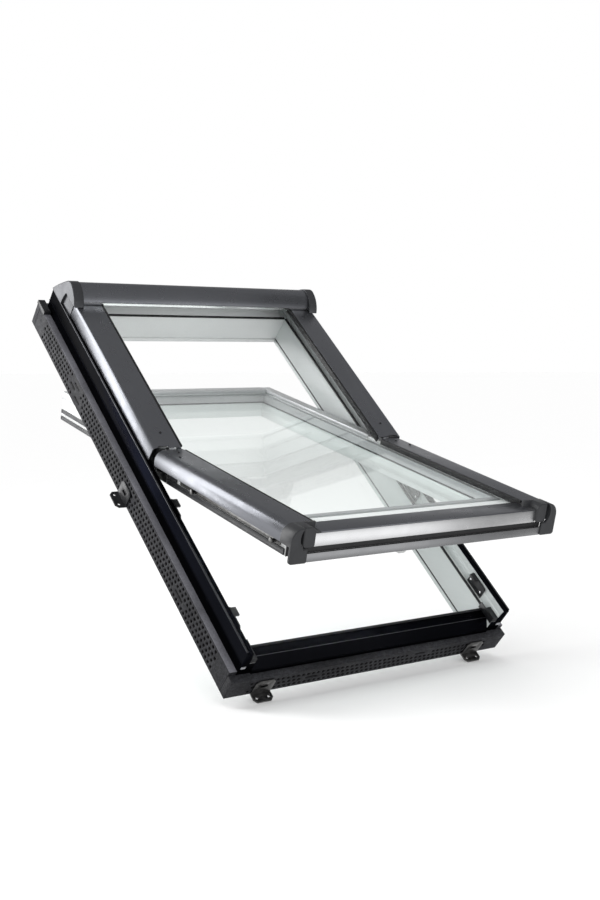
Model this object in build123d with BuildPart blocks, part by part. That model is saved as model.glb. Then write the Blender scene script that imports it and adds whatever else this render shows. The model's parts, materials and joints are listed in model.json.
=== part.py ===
from build123d import *
import os

os.makedirs("parts", exist_ok=True)

# Centre-pivot roof window, in millimetres, set in its roof slope with the sash ajar.
# Every section is drawn in window directions: u across, v up the slope, n out of the roof,
# counted from the middle of the sill's lower edge on the room side.

# Setting in the roof
roof_pitch = 41
open_angle = 28

# Extra depth of every through cut
overrun = 1

# Frame outline and the insulation around it
frame_width = 740
frame_height = 1180
insulation_thickness = 20
insulation_depth = 62
sill_insulation_depth = 52
insulation_chamfer = 4

# Frame profiles: a lining towards the opening, a seal ledge and an outer wall
jamb_width = 33
head_width = 58
sill_width = 50
wall_thickness = 15
ledge_level = 84
wall_height = 34
groove_level = 9
groove_width = 5
groove_depth = 8
rebate_rib = 3
rebate_rib_rise = 17
sill_front_rise = 4
sill_slope_run = 18
sill_ridge_height = 78
sill_ridge_round = 4

# Claddings on the frame's outer wall and on the sill
cladding = 2
cladding_rib = 3
cladding_setback = 1
cladding_line = 1.2
cladding_line_width = 2.5
cladding_line_share = 0.45
jamb_end_plate = 1.5
sill_lip_out = 5
sill_lip_height = 9

# Frame seal strips
seal_width = 6
seal_height = 4
seal_round = 1.5
seal_setback = 1

# Side covers: the fixed upper pair and the lower pair on the sash share one section
cover_setback = 4
cover_lap = 6.5
cover_wall = 2
cover_depth = 39
skirt_gap = 3
sash_cover_drop = 2
cover_shoulder = 9
sash_cover_shoulder = 24
cover_edge_round = 2.5
cover_seal_width = 5
cover_seal_height = 3
cover_seal_rise = 9
cover_seal_clearance = 0.4
fixed_cover_end_gap = 2

# Pivot line, hinge plates and how the covers part there
pivot_below_middle = 37.5
pivot_drop = 5.5
fixed_cover_gap = 1
sash_cover_gap = 12
pin_radius = 3
pin_clearance = 0.05
pin_end_gap = 0.5
hinge_eye = 5
hinge_plate = 4
hinge_up = 45
hinge_down = 8
hinge_foot_rise = 4
hinge_shoulder_drop = 20
hinge_notch_clearance = 1

# Carriers that hold the fixed covers on the frame wall
carrier_gap = 50
carrier_leg = 4
carrier_leg_out = 2
carrier_block_width = 26
carrier_block_height = 11

# Hood over the head, its end caps and the seal rail under it
hood_front_in = 114
hood_front_height = 8
hood_crest_in = 78
hood_rise = 33
hood_ridge_in = 56
hood_ridge_rise = 26
hood_back_out = 2
hood_back_drop = 41
hood_front_bulge = 6
hood_wall = 2.5
hood_rest_clearance = 0.3
hood_cap_width = 8.5
hood_cap_lap = 18
hood_cap_clearance = 0.2
hood_cap_over = 2.2
hood_cap_reach = 14
hood_cap_bulge = 8.5
hood_cap_sheet_in = 4
hood_cap_chamfer = 2
hood_ridge_share = 0.7
hood_pocket_run = 45
hood_pocket_lean = 9
hood_pocket_bow = 2
hood_pocket_depth = 7
rail_front_in = 100
rail_gap = 2
rail_step = 3
rail_step_run = 22
rail_lean = 30
rail_web = 3

# Sash profiles and glass
sash_gap = 11
sash_end_gap = 12
sash_member = 54
sash_sink = 4
sash_seat = 38
sash_upstand = 26
sash_upstand_height = 34
sash_bevel = 4
pane_thickness = 4
pane_gap = 20
tape_thickness = 2
tape_setback = 4
tape_width = 18
pane_clearance = 2
pane_overhang = 16
spacer_width = 12
spacer_setback = 8

# Side rails between the stiles and the lower covers
side_rail_gap = 14
side_rail_rise = 2
side_rail_fin = 4
side_rail_fin_drop = 4
side_rail_fin_out = 14
side_rail_shelf_rise = 4
side_rail_shelf = 8
side_rail_post_out = 12
side_rail_post = 4
side_rail_root_drop = 6

# Bottom cover, bright front strip and lower apron of the sash
bottom_front = 2
bottom_front_rise = 2.5
bottom_inner_rise = 5
bottom_lap = 4
bottom_wall = 3
bottom_edge_gap = 1
bottom_channel_wall = 4
bottom_channel_gap = 0.5
strip_out = 4
strip_top_drop = 2
strip_bottom_rise = 4
apron_front = 6
apron_height = 18
apron_recess = 8
apron_flange = 3

# Moulded end caps of the sash
cap_front = 9
cap_length = 39
cap_apron = 7
cap_foot_drop = 35
cap_width = 60
cap_foot_width = 42.5
cap_over = 1.5
cap_shoulder = 26
cap_foot_round = 7
cap_block_drop = 1
cap_block_width = 29
cap_block_back = 3
cap_block_round = 6
cap_block_top_round = 14
cap_step_round = 4
cap_front_chamfer = 2
cap_groove_bulge = 10
cap_groove_depth = 14
cap_cheek = 6

# Claddings on the upper half of the sash
sash_cladding = 2
sash_cladding_rise = 4
sash_cladding_skirt = 16
sash_cladding_lap = 1
sash_cladding_gap = 50

# Lock bars with their mushroom pins, and the keeps on the jambs
bar_clearance = 0.3
bar_thickness = 3
bar_low = 18
bar_hinge_gap = 64.5
bar_rise = 20
bar_width = 13
lock_low = 33
lock_end = 70
lock_stem_radius = 4
lock_stem_length = 11
lock_head_radius = 6
lock_head_length = 3
keep_plate = 3
keep_foot_rise = 2
keep_height = 30
keep_before = 24
keep_after = 34
keep_finger_out = 12
keep_finger_gap = 1
keep_finger_height = 5
keep_finger_length = 22
keep_corner = 4

# Handle on the room side of the bottom rail
handle_rise = 27
rosette_length = 64
rosette_width = 30
rosette_thickness = 8
rosette_chamfer = 3
spindle_radius = 4
spindle_clearance = 0.05
spindle_end_gap = 0.5
handle_gap = 0.3
hub_radius = 11
hub_length = 24
lever_length = 105
lever_root_width = 24
lever_tip_width = 17
lever_thickness = 13
lever_corner = 6
lever_chamfer = 4

# Mounting brackets
bracket_plate = 3
bracket_width = 50
bracket_rise = 44
bracket_foot = 26
bracket_hole_radius = 3
bracket_hole_out = 15
bracket_hole_pitch = 30
bracket_slot_length = 18
bracket_slot_width = 7
bracket_slot_rise = 24
bracket_corner = 8
bracket_inset = 90

# Places across the window
frame_half = frame_width / 2
lining_half = frame_half - jamb_width
wall_half = frame_half - wall_thickness
rib_half = wall_half - rebate_rib
insulation_half = frame_half + insulation_thickness
cover_outer = frame_half - cover_setback
cover_inside = cover_outer - cover_wall
sash_half = lining_half - sash_gap
rebate_half = sash_half - sash_upstand
opening_half = sash_half - sash_member
glass_half = rebate_half - pane_clearance
cover_inner = rebate_half - cover_lap
cover_seal_inner = cover_inner + cover_wall - cover_seal_width
cap_half = cover_outer + cap_over
bottom_half = cap_half - cap_width
apron_half = cap_half - cap_foot_width

# Places up the slope
head_lining = frame_height - head_width
pivot_v = frame_height / 2 - pivot_below_middle
fixed_cover_start = pivot_v + fixed_cover_gap
sash_cover_end = pivot_v - sash_cover_gap
sash_bottom = sill_width + sash_end_gap
sash_top = head_lining - sash_end_gap
pane_bottom = sash_bottom + sash_upstand + pane_clearance
pane_top = sash_top - sash_upstand - pane_clearance
clad_low = pane_top - sash_cladding_lap
fixed_cover_end = clad_low - fixed_cover_end_gap
outer_pane_bottom = sash_bottom - pane_overhang
cap_back = cap_length - cap_front

# Levels out of the roof
sill_front_height = sill_insulation_depth + sill_front_rise
wall_top = ledge_level + wall_height
cladding_top = wall_top + cladding
cover_skirt = cladding_top + cladding_rib + skirt_gap
fixed_cover_top = cover_skirt + cover_depth
sash_cover_top = fixed_cover_top - sash_cover_drop
pivot_n = fixed_cover_top - pivot_drop
sash_back = ledge_level - sash_sink
rebate_level = sash_back + sash_seat
upstand_top = rebate_level + sash_upstand_height
inner_pane_level = rebate_level + tape_thickness
outer_pane_level = inner_pane_level + pane_thickness + pane_gap
glass_top = outer_pane_level + pane_thickness
cover_leg = glass_top + cover_seal_height
sash_cladding_top = upstand_top + sash_cladding_rise
sides = ((-1, "left"), (1, "right"))

# The roof plane carries the frame, and the sash plane is turned about the pivot line
roof = Plane.XY.rotated((roof_pitch, 0, 0))
sash = Plane(
    roof.location
    * Location((0, pivot_v, pivot_n), (-open_angle, 0, 0))
    * Location((0, -pivot_v, -pivot_n))
)


def across(base, v):
    # Section plane of a piece that runs up the slope: x across, y outwards, normal down the slope
    return Plane(base.from_local_coords((0, v, 0)), x_dir=base.x_dir, z_dir=-base.y_dir)


def along(base, u):
    # Section plane of a piece that runs across: x up the slope, y outwards, normal to the right
    return Plane(base.from_local_coords((u, 0, 0)), x_dir=base.y_dir, z_dir=base.x_dir)


def on_side(side, points):
    # The same outline on the left or the right half of the window
    return [(side * u, n) for u, n in points]


def section(plane, points, rounds=0):
    # One closed outline, with its corners rounded where a radius is given
    with BuildSketch(plane) as outline:
        with BuildLine():
            FilletPolyline(*points, radius=rounds, close=True)
        make_face()
    return outline.sketch


def bar(plane, points, length, rounds=0):
    # Straight profile of one section
    profile = section(plane, points, rounds)
    with BuildPart() as run:
        extrude(profile, amount=length)
    return run


def keep(piece, name):
    piece.part.label = name
    export_step(piece.part, f"parts/{name}.step")


# Jambs: lining with the groove for the room's reveal boards, seal ledge, rib and outer wall
jamb_outline = [
    (frame_half, 0),
    (frame_half, wall_top),
    (wall_half, wall_top),
    (wall_half, ledge_level + rebate_rib_rise + rebate_rib),
    (rib_half, ledge_level + rebate_rib_rise),
    (rib_half, ledge_level),
    (lining_half, ledge_level),
    (lining_half, groove_level + groove_width),
    (lining_half + groove_depth, groove_level + groove_width),
    (lining_half + groove_depth, groove_level),
    (lining_half, groove_level),
    (lining_half, 0),
]
for side, hand in sides:
    frame_jamb = bar(across(roof, frame_height), on_side(side, jamb_outline), frame_height)
    keep(frame_jamb, f"frame_{hand}_jamb")

# Head between the jambs: the lining block below the ledge, the outer wall above it
with BuildPart() as frame_head:
    with BuildSketch(along(roof, -lining_half)):
        with BuildLine():
            Polyline(
                (frame_height, 0),
                (frame_height, ledge_level),
                (head_lining, ledge_level),
                (head_lining, groove_level + groove_width),
                (head_lining + groove_depth, groove_level + groove_width),
                (head_lining + groove_depth, groove_level),
                (head_lining, groove_level),
                (head_lining, 0),
                close=True,
            )
        make_face()
    extrude(amount=2 * lining_half)
    with BuildSketch(along(roof, -rib_half)):
        with BuildLine():
            Polyline(
                (frame_height, ledge_level),
                (frame_height, wall_top),
                (frame_height - wall_thickness, wall_top),
                (frame_height - wall_thickness, ledge_level),
                close=True,
            )
        make_face()
    extrude(amount=2 * rib_half)
keep(frame_head, "frame_head")

# Sill between the jambs, with a sloped outer shoulder up to its ridge
sill_outline = [
    (0, 0),
    (0, sill_front_height),
    (sill_slope_run, sill_ridge_height),
    (sill_width, sill_ridge_height),
    (sill_width, groove_level + groove_width),
    (sill_width - groove_depth, groove_level + groove_width),
    (sill_width - groove_depth, groove_level),
    (sill_width, groove_level),
    (sill_width, 0),
]
sill_rounds = [0, 0, 0, sill_ridge_round] + [0] * 5
frame_sill = bar(along(roof, -lining_half), sill_outline, 2 * lining_half, sill_rounds)
keep(frame_sill, "frame_sill")

# Insulation strips around the frame: the sill and head strips take the corners
side_strip = [
    (frame_half, 0),
    (insulation_half, 0),
    (insulation_half, insulation_depth - insulation_chamfer),
    (insulation_half - insulation_chamfer, insulation_depth),
    (frame_half, insulation_depth),
]
for side, hand in sides:
    insulation = bar(across(roof, frame_height), on_side(side, side_strip), frame_height)
    keep(insulation, f"insulation_{hand}")

insulation_ends = (
    ("sill", 0, -1, sill_insulation_depth),
    ("head", frame_height, 1, insulation_depth),
)
for place, inner, outward, depth in insulation_ends:
    outer = inner + outward * insulation_thickness
    end_strip = [
        (inner, 0),
        (outer, 0),
        (outer, depth - insulation_chamfer),
        (outer - outward * insulation_chamfer, depth),
        (inner, depth),
    ]
    insulation = bar(along(roof, -insulation_half), end_strip, 2 * insulation_half)
    keep(insulation, f"insulation_{place}")

# Claddings: a channel wall with a raised rib, a line along its side and a closed lower end on each
# jamb, and a lipped cap on the sill
line_foot = insulation_depth + cladding_line_share * (cladding_top - insulation_depth)
side_cladding_outline = [
    (frame_half, insulation_depth),
    (frame_half + cladding, insulation_depth),
    (frame_half + cladding, line_foot),
    (frame_half + cladding + cladding_line, line_foot),
    (frame_half + cladding + cladding_line, line_foot + cladding_line_width),
    (frame_half + cladding, line_foot + cladding_line_width),
    (frame_half + cladding, cladding_top + cladding_rib),
    (frame_half + cladding - cladding_rib, cladding_top + cladding_rib),
    (frame_half + cladding - cladding_rib, cladding_top),
    (wall_half + cladding_setback, cladding_top),
    (wall_half + cladding_setback, wall_top),
    (frame_half, wall_top),
]
jamb_end_outline = [
    (lining_half, sill_insulation_depth),
    (frame_half + cladding, sill_insulation_depth),
    (frame_half + cladding, cladding_top),
    (wall_half, cladding_top),
    (rib_half, ledge_level + rebate_rib_rise),
    (rib_half, ledge_level),
    (lining_half, ledge_level),
]
for side, hand in sides:
    channel = section(across(roof, frame_height), on_side(side, side_cladding_outline))
    end_plate = section(across(roof, 0), on_side(side, jamb_end_outline))
    with BuildPart() as side_cladding:
        extrude(channel, amount=frame_height)
        extrude(end_plate, amount=jamb_end_plate)
    keep(side_cladding, f"side_cladding_{hand}")

sill_seal_place = sill_width - sill_ridge_round - seal_width
sill_cladding_outline = [
    (0, sill_insulation_depth),
    (-sill_lip_out, sill_insulation_depth),
    (-sill_lip_out, sill_insulation_depth + sill_lip_height),
    (-cladding, sill_insulation_depth + sill_lip_height),
    (sill_slope_run - cladding, sill_ridge_height + cladding),
    (sill_seal_place, sill_ridge_height + cladding),
    (sill_seal_place, sill_ridge_height),
    (sill_slope_run, sill_ridge_height),
    (0, sill_front_height),
]
sill_cladding = bar(along(roof, -lining_half), sill_cladding_outline, 2 * lining_half)
keep(sill_cladding, "sill_cladding")


# Frame seal: bulb strips on the ledges of the jambs and the head and on the sill's ridge
def seal_outline(start, level):
    return [
        (start, level),
        (start + seal_width, level),
        (start + seal_width, level + seal_height),
        (start, level + seal_height),
    ]


seal_rounds = [0, 0, seal_round, seal_round]
jamb_seal = seal_outline(lining_half + seal_setback, ledge_level)
head_seal = seal_outline(head_lining + seal_setback, ledge_level)
sill_seal = seal_outline(sill_seal_place, sill_ridge_height)
jamb_plane = across(roof, head_lining)
jamb_strips = [section(jamb_plane, on_side(side, jamb_seal), seal_rounds) for side, hand in sides]
end_strips = [section(along(roof, -lining_half), strip, seal_rounds) for strip in (head_seal, sill_seal)]
with BuildPart() as frame_seal:
    for strip in jamb_strips:
        extrude(strip, amount=head_lining - sill_width)
    for strip in end_strips:
        extrude(strip, amount=2 * lining_half)
keep(frame_seal, "frame_seal")


# Side covers: folded shells with a skirt outside and a leg that carries the glass seal inside
def cover_outline(top):
    return [
        (cover_inner, cover_leg),
        (cover_inner, top),
        (cover_outer, top),
        (cover_outer, cover_skirt),
        (cover_inside, cover_skirt),
        (cover_inside, top - cover_wall),
        (cover_inner + cover_wall, top - cover_wall),
        (cover_inner + cover_wall, cover_leg),
    ]


def cover_seal_outline(foot):
    return [
        (cover_seal_inner, foot),
        (cover_inner + cover_wall, foot),
        (cover_inner + cover_wall, cover_leg),
        (cover_inner, cover_leg),
        (cover_inner, cover_leg + cover_seal_rise),
        (cover_seal_inner, cover_leg + cover_seal_rise),
    ]


def cover_rounds(shoulder):
    return [0, cover_edge_round, shoulder, 0, 0, shoulder - cover_wall, 0, 0]


fixed_cover_run = fixed_cover_end - fixed_cover_start
sash_cover_run = sash_cover_end - cap_back
notch_middle = (sash_half + rib_half) / 2
notch_width = rib_half - sash_half + 2 * hinge_notch_clearance
notch_length = 2 * hinge_eye + 2 * hinge_notch_clearance
for side, hand in sides:
    fixed_outline = on_side(side, cover_outline(fixed_cover_top))
    fixed_profile = section(across(roof, fixed_cover_end), fixed_outline, cover_rounds(cover_shoulder))
    with BuildPart() as upper_cover:
        extrude(fixed_profile, amount=fixed_cover_run)
        # The lower end is notched around the hinge eyes
        with BuildSketch(roof.offset(cover_leg)):
            with Locations((side * notch_middle, pivot_v)):
                Rectangle(notch_width, notch_length)
        extrude(amount=fixed_cover_top - cover_leg + overrun, mode=Mode.SUBTRACT)
    keep(upper_cover, f"upper_cover_{hand}")
    fixed_seal = on_side(side, cover_seal_outline(glass_top + cover_seal_clearance))
    upper_cover_seal = bar(across(roof, fixed_cover_end), fixed_seal, fixed_cover_run)
    keep(upper_cover_seal, f"upper_cover_seal_{hand}")
    sash_outline = on_side(side, cover_outline(sash_cover_top))
    sash_rounds = cover_rounds(sash_cover_shoulder)
    sash_cover = bar(across(sash, sash_cover_end), sash_outline, sash_cover_run, sash_rounds)
    keep(sash_cover, f"sash_cover_{hand}")
    moving_seal = on_side(side, cover_seal_outline(glass_top))
    sash_cover_seal = bar(across(sash, sash_cover_end), moving_seal, sash_cover_run)
    keep(sash_cover_seal, f"sash_cover_seal_{hand}")

# Carriers: a leg on the frame wall and a block under each fixed cover
inner_shoulder = cover_shoulder - cover_wall
carrier_leg_inner = wall_half + carrier_leg_out
carrier_top = fixed_cover_top - cover_wall
carrier_block_foot = carrier_top - carrier_block_height
carrier_outline = [
    (carrier_leg_inner, cladding_top),
    (carrier_leg_inner + carrier_leg, cladding_top),
    (carrier_leg_inner + carrier_leg, carrier_block_foot),
    (cover_inside, carrier_block_foot),
    (cover_inside, carrier_top - inner_shoulder),
    (cover_inside - inner_shoulder, carrier_top),
    (cover_inside - carrier_block_width, carrier_top),
    (cover_inside - carrier_block_width, carrier_block_foot),
    (carrier_leg_inner, carrier_block_foot),
]
carrier_end = frame_height - hood_front_in
carrier_run = carrier_end - pivot_v - carrier_gap
for side, hand in sides:
    cover_carrier = bar(across(roof, carrier_end), on_side(side, carrier_outline), carrier_run)
    keep(cover_carrier, f"cover_carrier_{hand}")

# Hood: an arched shell from the covers' upper ends over the crest and down behind the head
hood_front = frame_height - hood_front_in
hood_foot = fixed_cover_top + hood_rest_clearance
hood_crest = (frame_height - hood_crest_in, fixed_cover_top + hood_rise)
hood_nose = (hood_front, hood_foot + hood_front_height)
hood_ridge = (frame_height - hood_ridge_in, fixed_cover_top + hood_ridge_rise)
hood_heel = (frame_height + hood_back_out, fixed_cover_top - hood_back_drop)


def draw_arch(nose, bulge, out):
    # The hood's arch from its nose to its heel, moved outwards, and the point where it ends
    crest = (hood_crest[0], hood_crest[1] + out)
    middle = ((nose[0] + crest[0]) / 2, (nose[1] + crest[1]) / 2 + bulge)
    ridge = (hood_ridge[0] + hood_ridge_share * out, hood_ridge[1] + hood_ridge_share * out)
    heel = (hood_heel[0] + out, hood_heel[1])
    front = ThreePointArc(nose, middle, crest)
    top = TangentArc(crest, ridge, tangent=front % 1)
    TangentArc(ridge, heel, tangent=top % 1)
    return heel


with BuildPart() as hood:
    with BuildSketch(along(roof, -cover_outer)):
        with BuildLine():
            Line((hood_front, hood_foot), hood_nose)
            draw_arch(hood_nose, hood_front_bulge, 0)
            offset(amount=hood_wall, side=Side.RIGHT)
        make_face()
    extrude(amount=2 * cover_outer)
keep(hood, "hood")

# Hood end caps: moulded cheeks with a band over the hood's end, a foot on the side cover and a pocket
# around the cover's upper end
hood_cap_nose = (hood_front - hood_cap_reach, hood_foot)
inner_nose = (hood_nose[0] - hood_cap_clearance, hood_nose[1])
sheet_front = hood_front + hood_cap_sheet_in
pocket_top = (hood_front + hood_pocket_run, hood_foot)
pocket_foot = (pocket_top[0] + hood_pocket_lean, hood_heel[1] - overrun)
pocket_middle = (
    (pocket_top[0] + pocket_foot[0]) / 2 + hood_pocket_bow,
    (pocket_top[1] + pocket_foot[1]) / 2 + hood_pocket_bow,
)
pocket_front = hood_cap_nose[0] - overrun
for side, hand in sides:
    with BuildPart() as hood_cap:
        with BuildSketch(along(roof, side * cover_outer)):
            with BuildLine():
                heel = draw_arch(hood_cap_nose, hood_cap_bulge, hood_cap_over)
                Polyline(heel, (sheet_front, heel[1]), (sheet_front, hood_foot), hood_cap_nose)
            make_face()
        extrude(amount=side * hood_cap_width)
        outer_face = hood_cap.faces().sort_by(Axis.X)[-1 if side > 0 else 0]
        chamfer(outer_face.edges(), length=hood_cap_chamfer)
        with BuildSketch(along(roof, side * cover_outer)):
            with BuildLine():
                outer_heel = draw_arch(hood_cap_nose, hood_cap_bulge, hood_cap_over)
                inner_heel = draw_arch(inner_nose, hood_front_bulge, hood_cap_clearance)
                Line(outer_heel, inner_heel)
                Polyline(inner_nose, (inner_nose[0], hood_foot), hood_cap_nose)
            make_face()
        extrude(amount=-side * hood_cap_lap)
        with BuildSketch(along(roof, side * (cover_outer + hood_cap_width))):
            with BuildLine():
                Line((pocket_front, hood_foot), pocket_top)
                ThreePointArc(pocket_top, pocket_middle, pocket_foot)
                Polyline(pocket_foot, (pocket_front, pocket_foot[1]), (pocket_front, hood_foot))
            make_face()
        extrude(amount=-side * hood_pocket_depth, mode=Mode.SUBTRACT)
    keep(hood_cap, f"hood_cap_{hand}")

# Seal rail: a stepped shelf under the hood on a leaning web that stands on the head's wall
rail_front = frame_height - rail_front_in
rail_under = sash_cladding_top + rail_gap
rail_foot = frame_height - wall_thickness
rail_back = rail_foot - rail_lean
rail_outline = [
    (rail_foot + rail_web, wall_top),
    (rail_back + rail_web, rail_under + rail_step),
    (rail_back, rail_under + 2 * rail_step),
    (rail_front, rail_under + 2 * rail_step),
    (rail_front, rail_under + rail_step),
    (rail_front + rail_step_run, rail_under + rail_step),
    (rail_front + rail_step_run, rail_under),
    (rail_back, rail_under),
    (rail_foot, wall_top),
]
hood_seal_rail = bar(along(roof, -cover_seal_inner), rail_outline, 2 * cover_seal_inner)
keep(hood_seal_rail, "hood_seal_rail")

# Sash stiles run the full length, and the rails sit between them; all have a glazing rebate
stile_outline = [
    (opening_half, sash_back),
    (sash_half, sash_back),
    (sash_half, upstand_top),
    (rebate_half, upstand_top),
    (rebate_half, rebate_level),
    (opening_half + sash_bevel, rebate_level),
    (opening_half, rebate_level - sash_bevel),
]
for side, hand in sides:
    sash_stile = bar(across(sash, sash_top), on_side(side, stile_outline), sash_top - sash_bottom)
    keep(sash_stile, f"sash_{hand}_stile")


def sash_rail(edge, inward, top, half):
    # Rail from its outer edge inwards: the seat between the stiles and the upstand behind the glass
    with BuildPart() as rail:
        with BuildSketch(along(sash, -opening_half)):
            with BuildLine():
                Polyline(
                    (edge, sash_back),
                    (edge, rebate_level),
                    (edge + inward * (sash_member - sash_bevel), rebate_level),
                    (edge + inward * sash_member, rebate_level - sash_bevel),
                    (edge + inward * sash_member, sash_back),
                    close=True,
                )
            make_face()
        extrude(amount=2 * opening_half)
        with BuildSketch(along(sash, -half)):
            with BuildLine():
                Polyline(
                    (edge, rebate_level),
                    (edge, top),
                    (edge + inward * sash_upstand, top),
                    (edge + inward * sash_upstand, rebate_level),
                    close=True,
                )
            make_face()
        extrude(amount=2 * half)
    return rail


clad_inner = glass_half - sash_cladding_lap
keep(sash_rail(sash_top, -1, upstand_top, clad_inner), "sash_top_rail")
keep(sash_rail(sash_bottom, 1, outer_pane_level, rebate_half), "sash_bottom_rail")


# Glass unit: two panes with a spacer frame between them, on a glazing tape; the outer pane is stepped
def pane(level, low, high, half, thickness):
    with BuildPart() as sheet:
        with BuildSketch(sash.offset(level)):
            with Locations((0, (low + high) / 2)):
                Rectangle(2 * half, high - low)
        extrude(amount=thickness)
    return sheet


def ring(level, low, high, half, width, thickness):
    with BuildPart() as frame_ring:
        with BuildSketch(sash.offset(level)):
            with Locations((0, (low + high) / 2)):
                Rectangle(2 * half, high - low)
                Rectangle(2 * half - 2 * width, high - low - 2 * width, mode=Mode.SUBTRACT)
        extrude(amount=thickness)
    return frame_ring


keep(pane(inner_pane_level, pane_bottom, pane_top, glass_half, pane_thickness), "inner_pane")
keep(pane(outer_pane_level, outer_pane_bottom, pane_top, glass_half, pane_thickness), "outer_pane")
spacer_half = glass_half - spacer_setback
spacer = ring(
    inner_pane_level + pane_thickness,
    pane_bottom + spacer_setback,
    pane_top - spacer_setback,
    spacer_half,
    spacer_width,
    pane_gap,
)
keep(spacer, "glass_spacer")
tape_half = glass_half - tape_setback
glazing_tape = ring(
    rebate_level,
    pane_bottom + tape_setback,
    pane_top - tape_setback,
    tape_half,
    tape_width,
    tape_thickness,
)
keep(glazing_tape, "glazing_tape")

# Side rails: finned carriers from each stile out to the skirt of its lower cover
web_foot = cover_skirt + side_rail_rise
fin_foot = web_foot - side_rail_fin_drop
shelf_foot = cover_skirt + side_rail_shelf_rise
shelf_top = shelf_foot + side_rail_shelf
post_inner = sash_half + side_rail_post_out
rail_root_top = upstand_top - side_rail_root_drop
side_rail_outline = [
    (sash_half, web_foot),
    (sash_half + side_rail_fin_out, web_foot),
    (sash_half + side_rail_fin_out, fin_foot),
    (sash_half + side_rail_fin_out + side_rail_fin, fin_foot),
    (sash_half + side_rail_fin_out + side_rail_fin, shelf_foot),
    (cover_inside, shelf_foot),
    (cover_inside, shelf_top),
    (post_inner + side_rail_post, shelf_top),
    (post_inner + side_rail_post, sash_cover_top - cover_wall),
    (post_inner, sash_cover_top - cover_wall),
    (post_inner, rail_root_top),
    (sash_half, rail_root_top),
]
side_rail_end = pivot_v - side_rail_gap
for side, hand in sides:
    side_rail = bar(across(sash, side_rail_end), on_side(side, side_rail_outline), side_rail_end - cap_back)
    keep(side_rail, f"sash_side_rail_{hand}")

# Bottom cover: holds the stepped pane's lower edge and carries the bright strip and the apron
bottom_top = glass_top + bottom_front_rise
bottom_inner = outer_pane_bottom + bottom_lap
bottom_inner_top = glass_top + bottom_inner_rise
pane_stop = outer_pane_bottom - bottom_edge_gap
channel_top = outer_pane_level - bottom_channel_gap
channel_foot = channel_top - bottom_channel_wall
channel_front = pane_stop - bottom_channel_wall
bottom_cover_outline = [
    (bottom_front, rebate_level),
    (bottom_front, bottom_top),
    (bottom_inner, bottom_inner_top),
    (bottom_inner, glass_top),
    (pane_stop, glass_top),
    (pane_stop, channel_top),
    (sash_bottom, channel_top),
    (sash_bottom, channel_foot),
    (channel_front, channel_foot),
    (channel_front, glass_top),
    (bottom_front + bottom_wall, bottom_top - bottom_wall),
    (bottom_front + bottom_wall, rebate_level),
]
bottom_cover = bar(along(sash, -cover_seal_inner), bottom_cover_outline, 2 * cover_seal_inner)
keep(bottom_cover, "sash_bottom_cover")
front_strip_outline = [
    (bottom_front, bottom_top - strip_top_drop),
    (bottom_front, rebate_level + strip_bottom_rise),
    (bottom_front - strip_out, rebate_level + strip_bottom_rise),
    (bottom_front - strip_out / 2, bottom_top - strip_top_drop),
]
front_strip = bar(along(sash, -bottom_half), front_strip_outline, 2 * bottom_half)
keep(front_strip, "sash_front_strip")
apron_top = rebate_level - apron_recess
apron_outline = [
    (bottom_front + bottom_wall, rebate_level),
    (bottom_front - apron_flange, rebate_level),
    (bottom_front - apron_flange, apron_top),
    (-apron_front, apron_top),
    (-apron_front, apron_top - apron_height),
    (apron_flange - apron_front, apron_top - apron_height),
    (apron_flange - apron_front, apron_top - apron_flange),
    (bottom_front, apron_top - apron_flange),
    (bottom_front, rebate_level - apron_flange),
    (bottom_front + bottom_wall, rebate_level - apron_flange),
]
apron = bar(along(sash, -apron_half), apron_outline, 2 * apron_half)
keep(apron, "sash_apron")

# End caps: moulded ends of the lower covers. A fin stands in front of the jamb, a block set back from it
# sits beside the bright strip, and a crescent groove parts the two
cap_top = sash_cover_top + cap_over
cap_foot = cover_skirt - cap_foot_drop
block_foot = rebate_level + strip_bottom_rise - cap_block_drop
groove_half = bottom_half + cap_block_width
groove_middle = (block_foot + cap_top) / 2
fin_outline = [
    (apron_half, cap_foot),
    (apron_half, block_foot),
    (groove_half, block_foot),
    (groove_half, cap_top),
    (cap_half, cap_top),
    (cap_half, cap_foot),
]
fin_rounds = [cap_step_round, cap_step_round, 0, 0, cap_shoulder, cap_foot_round]
block_outline = [
    (bottom_half, block_foot),
    (bottom_half, cap_top),
    (groove_half, cap_top),
    (groove_half, block_foot),
]
block_rounds = [cap_block_round, cap_block_top_round, 0, cap_block_round]
body_outline = [
    (bottom_half, cover_skirt),
    (bottom_half, cap_top),
    (cap_half, cap_top),
    (cap_half, cover_skirt),
]
body_rounds = [0, cap_block_top_round, cap_shoulder, 0]
cheek_outline = [
    (cover_seal_inner, cover_skirt),
    (cover_seal_inner, cap_top),
    (cap_half - cap_shoulder, cap_top),
    (cap_half - cap_shoulder, cover_skirt),
]
ledge_outline = [
    (cover_seal_inner, cover_skirt),
    (cover_seal_inner, bottom_top),
    (bottom_half, bottom_top),
    (bottom_half, cover_skirt),
]
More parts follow.
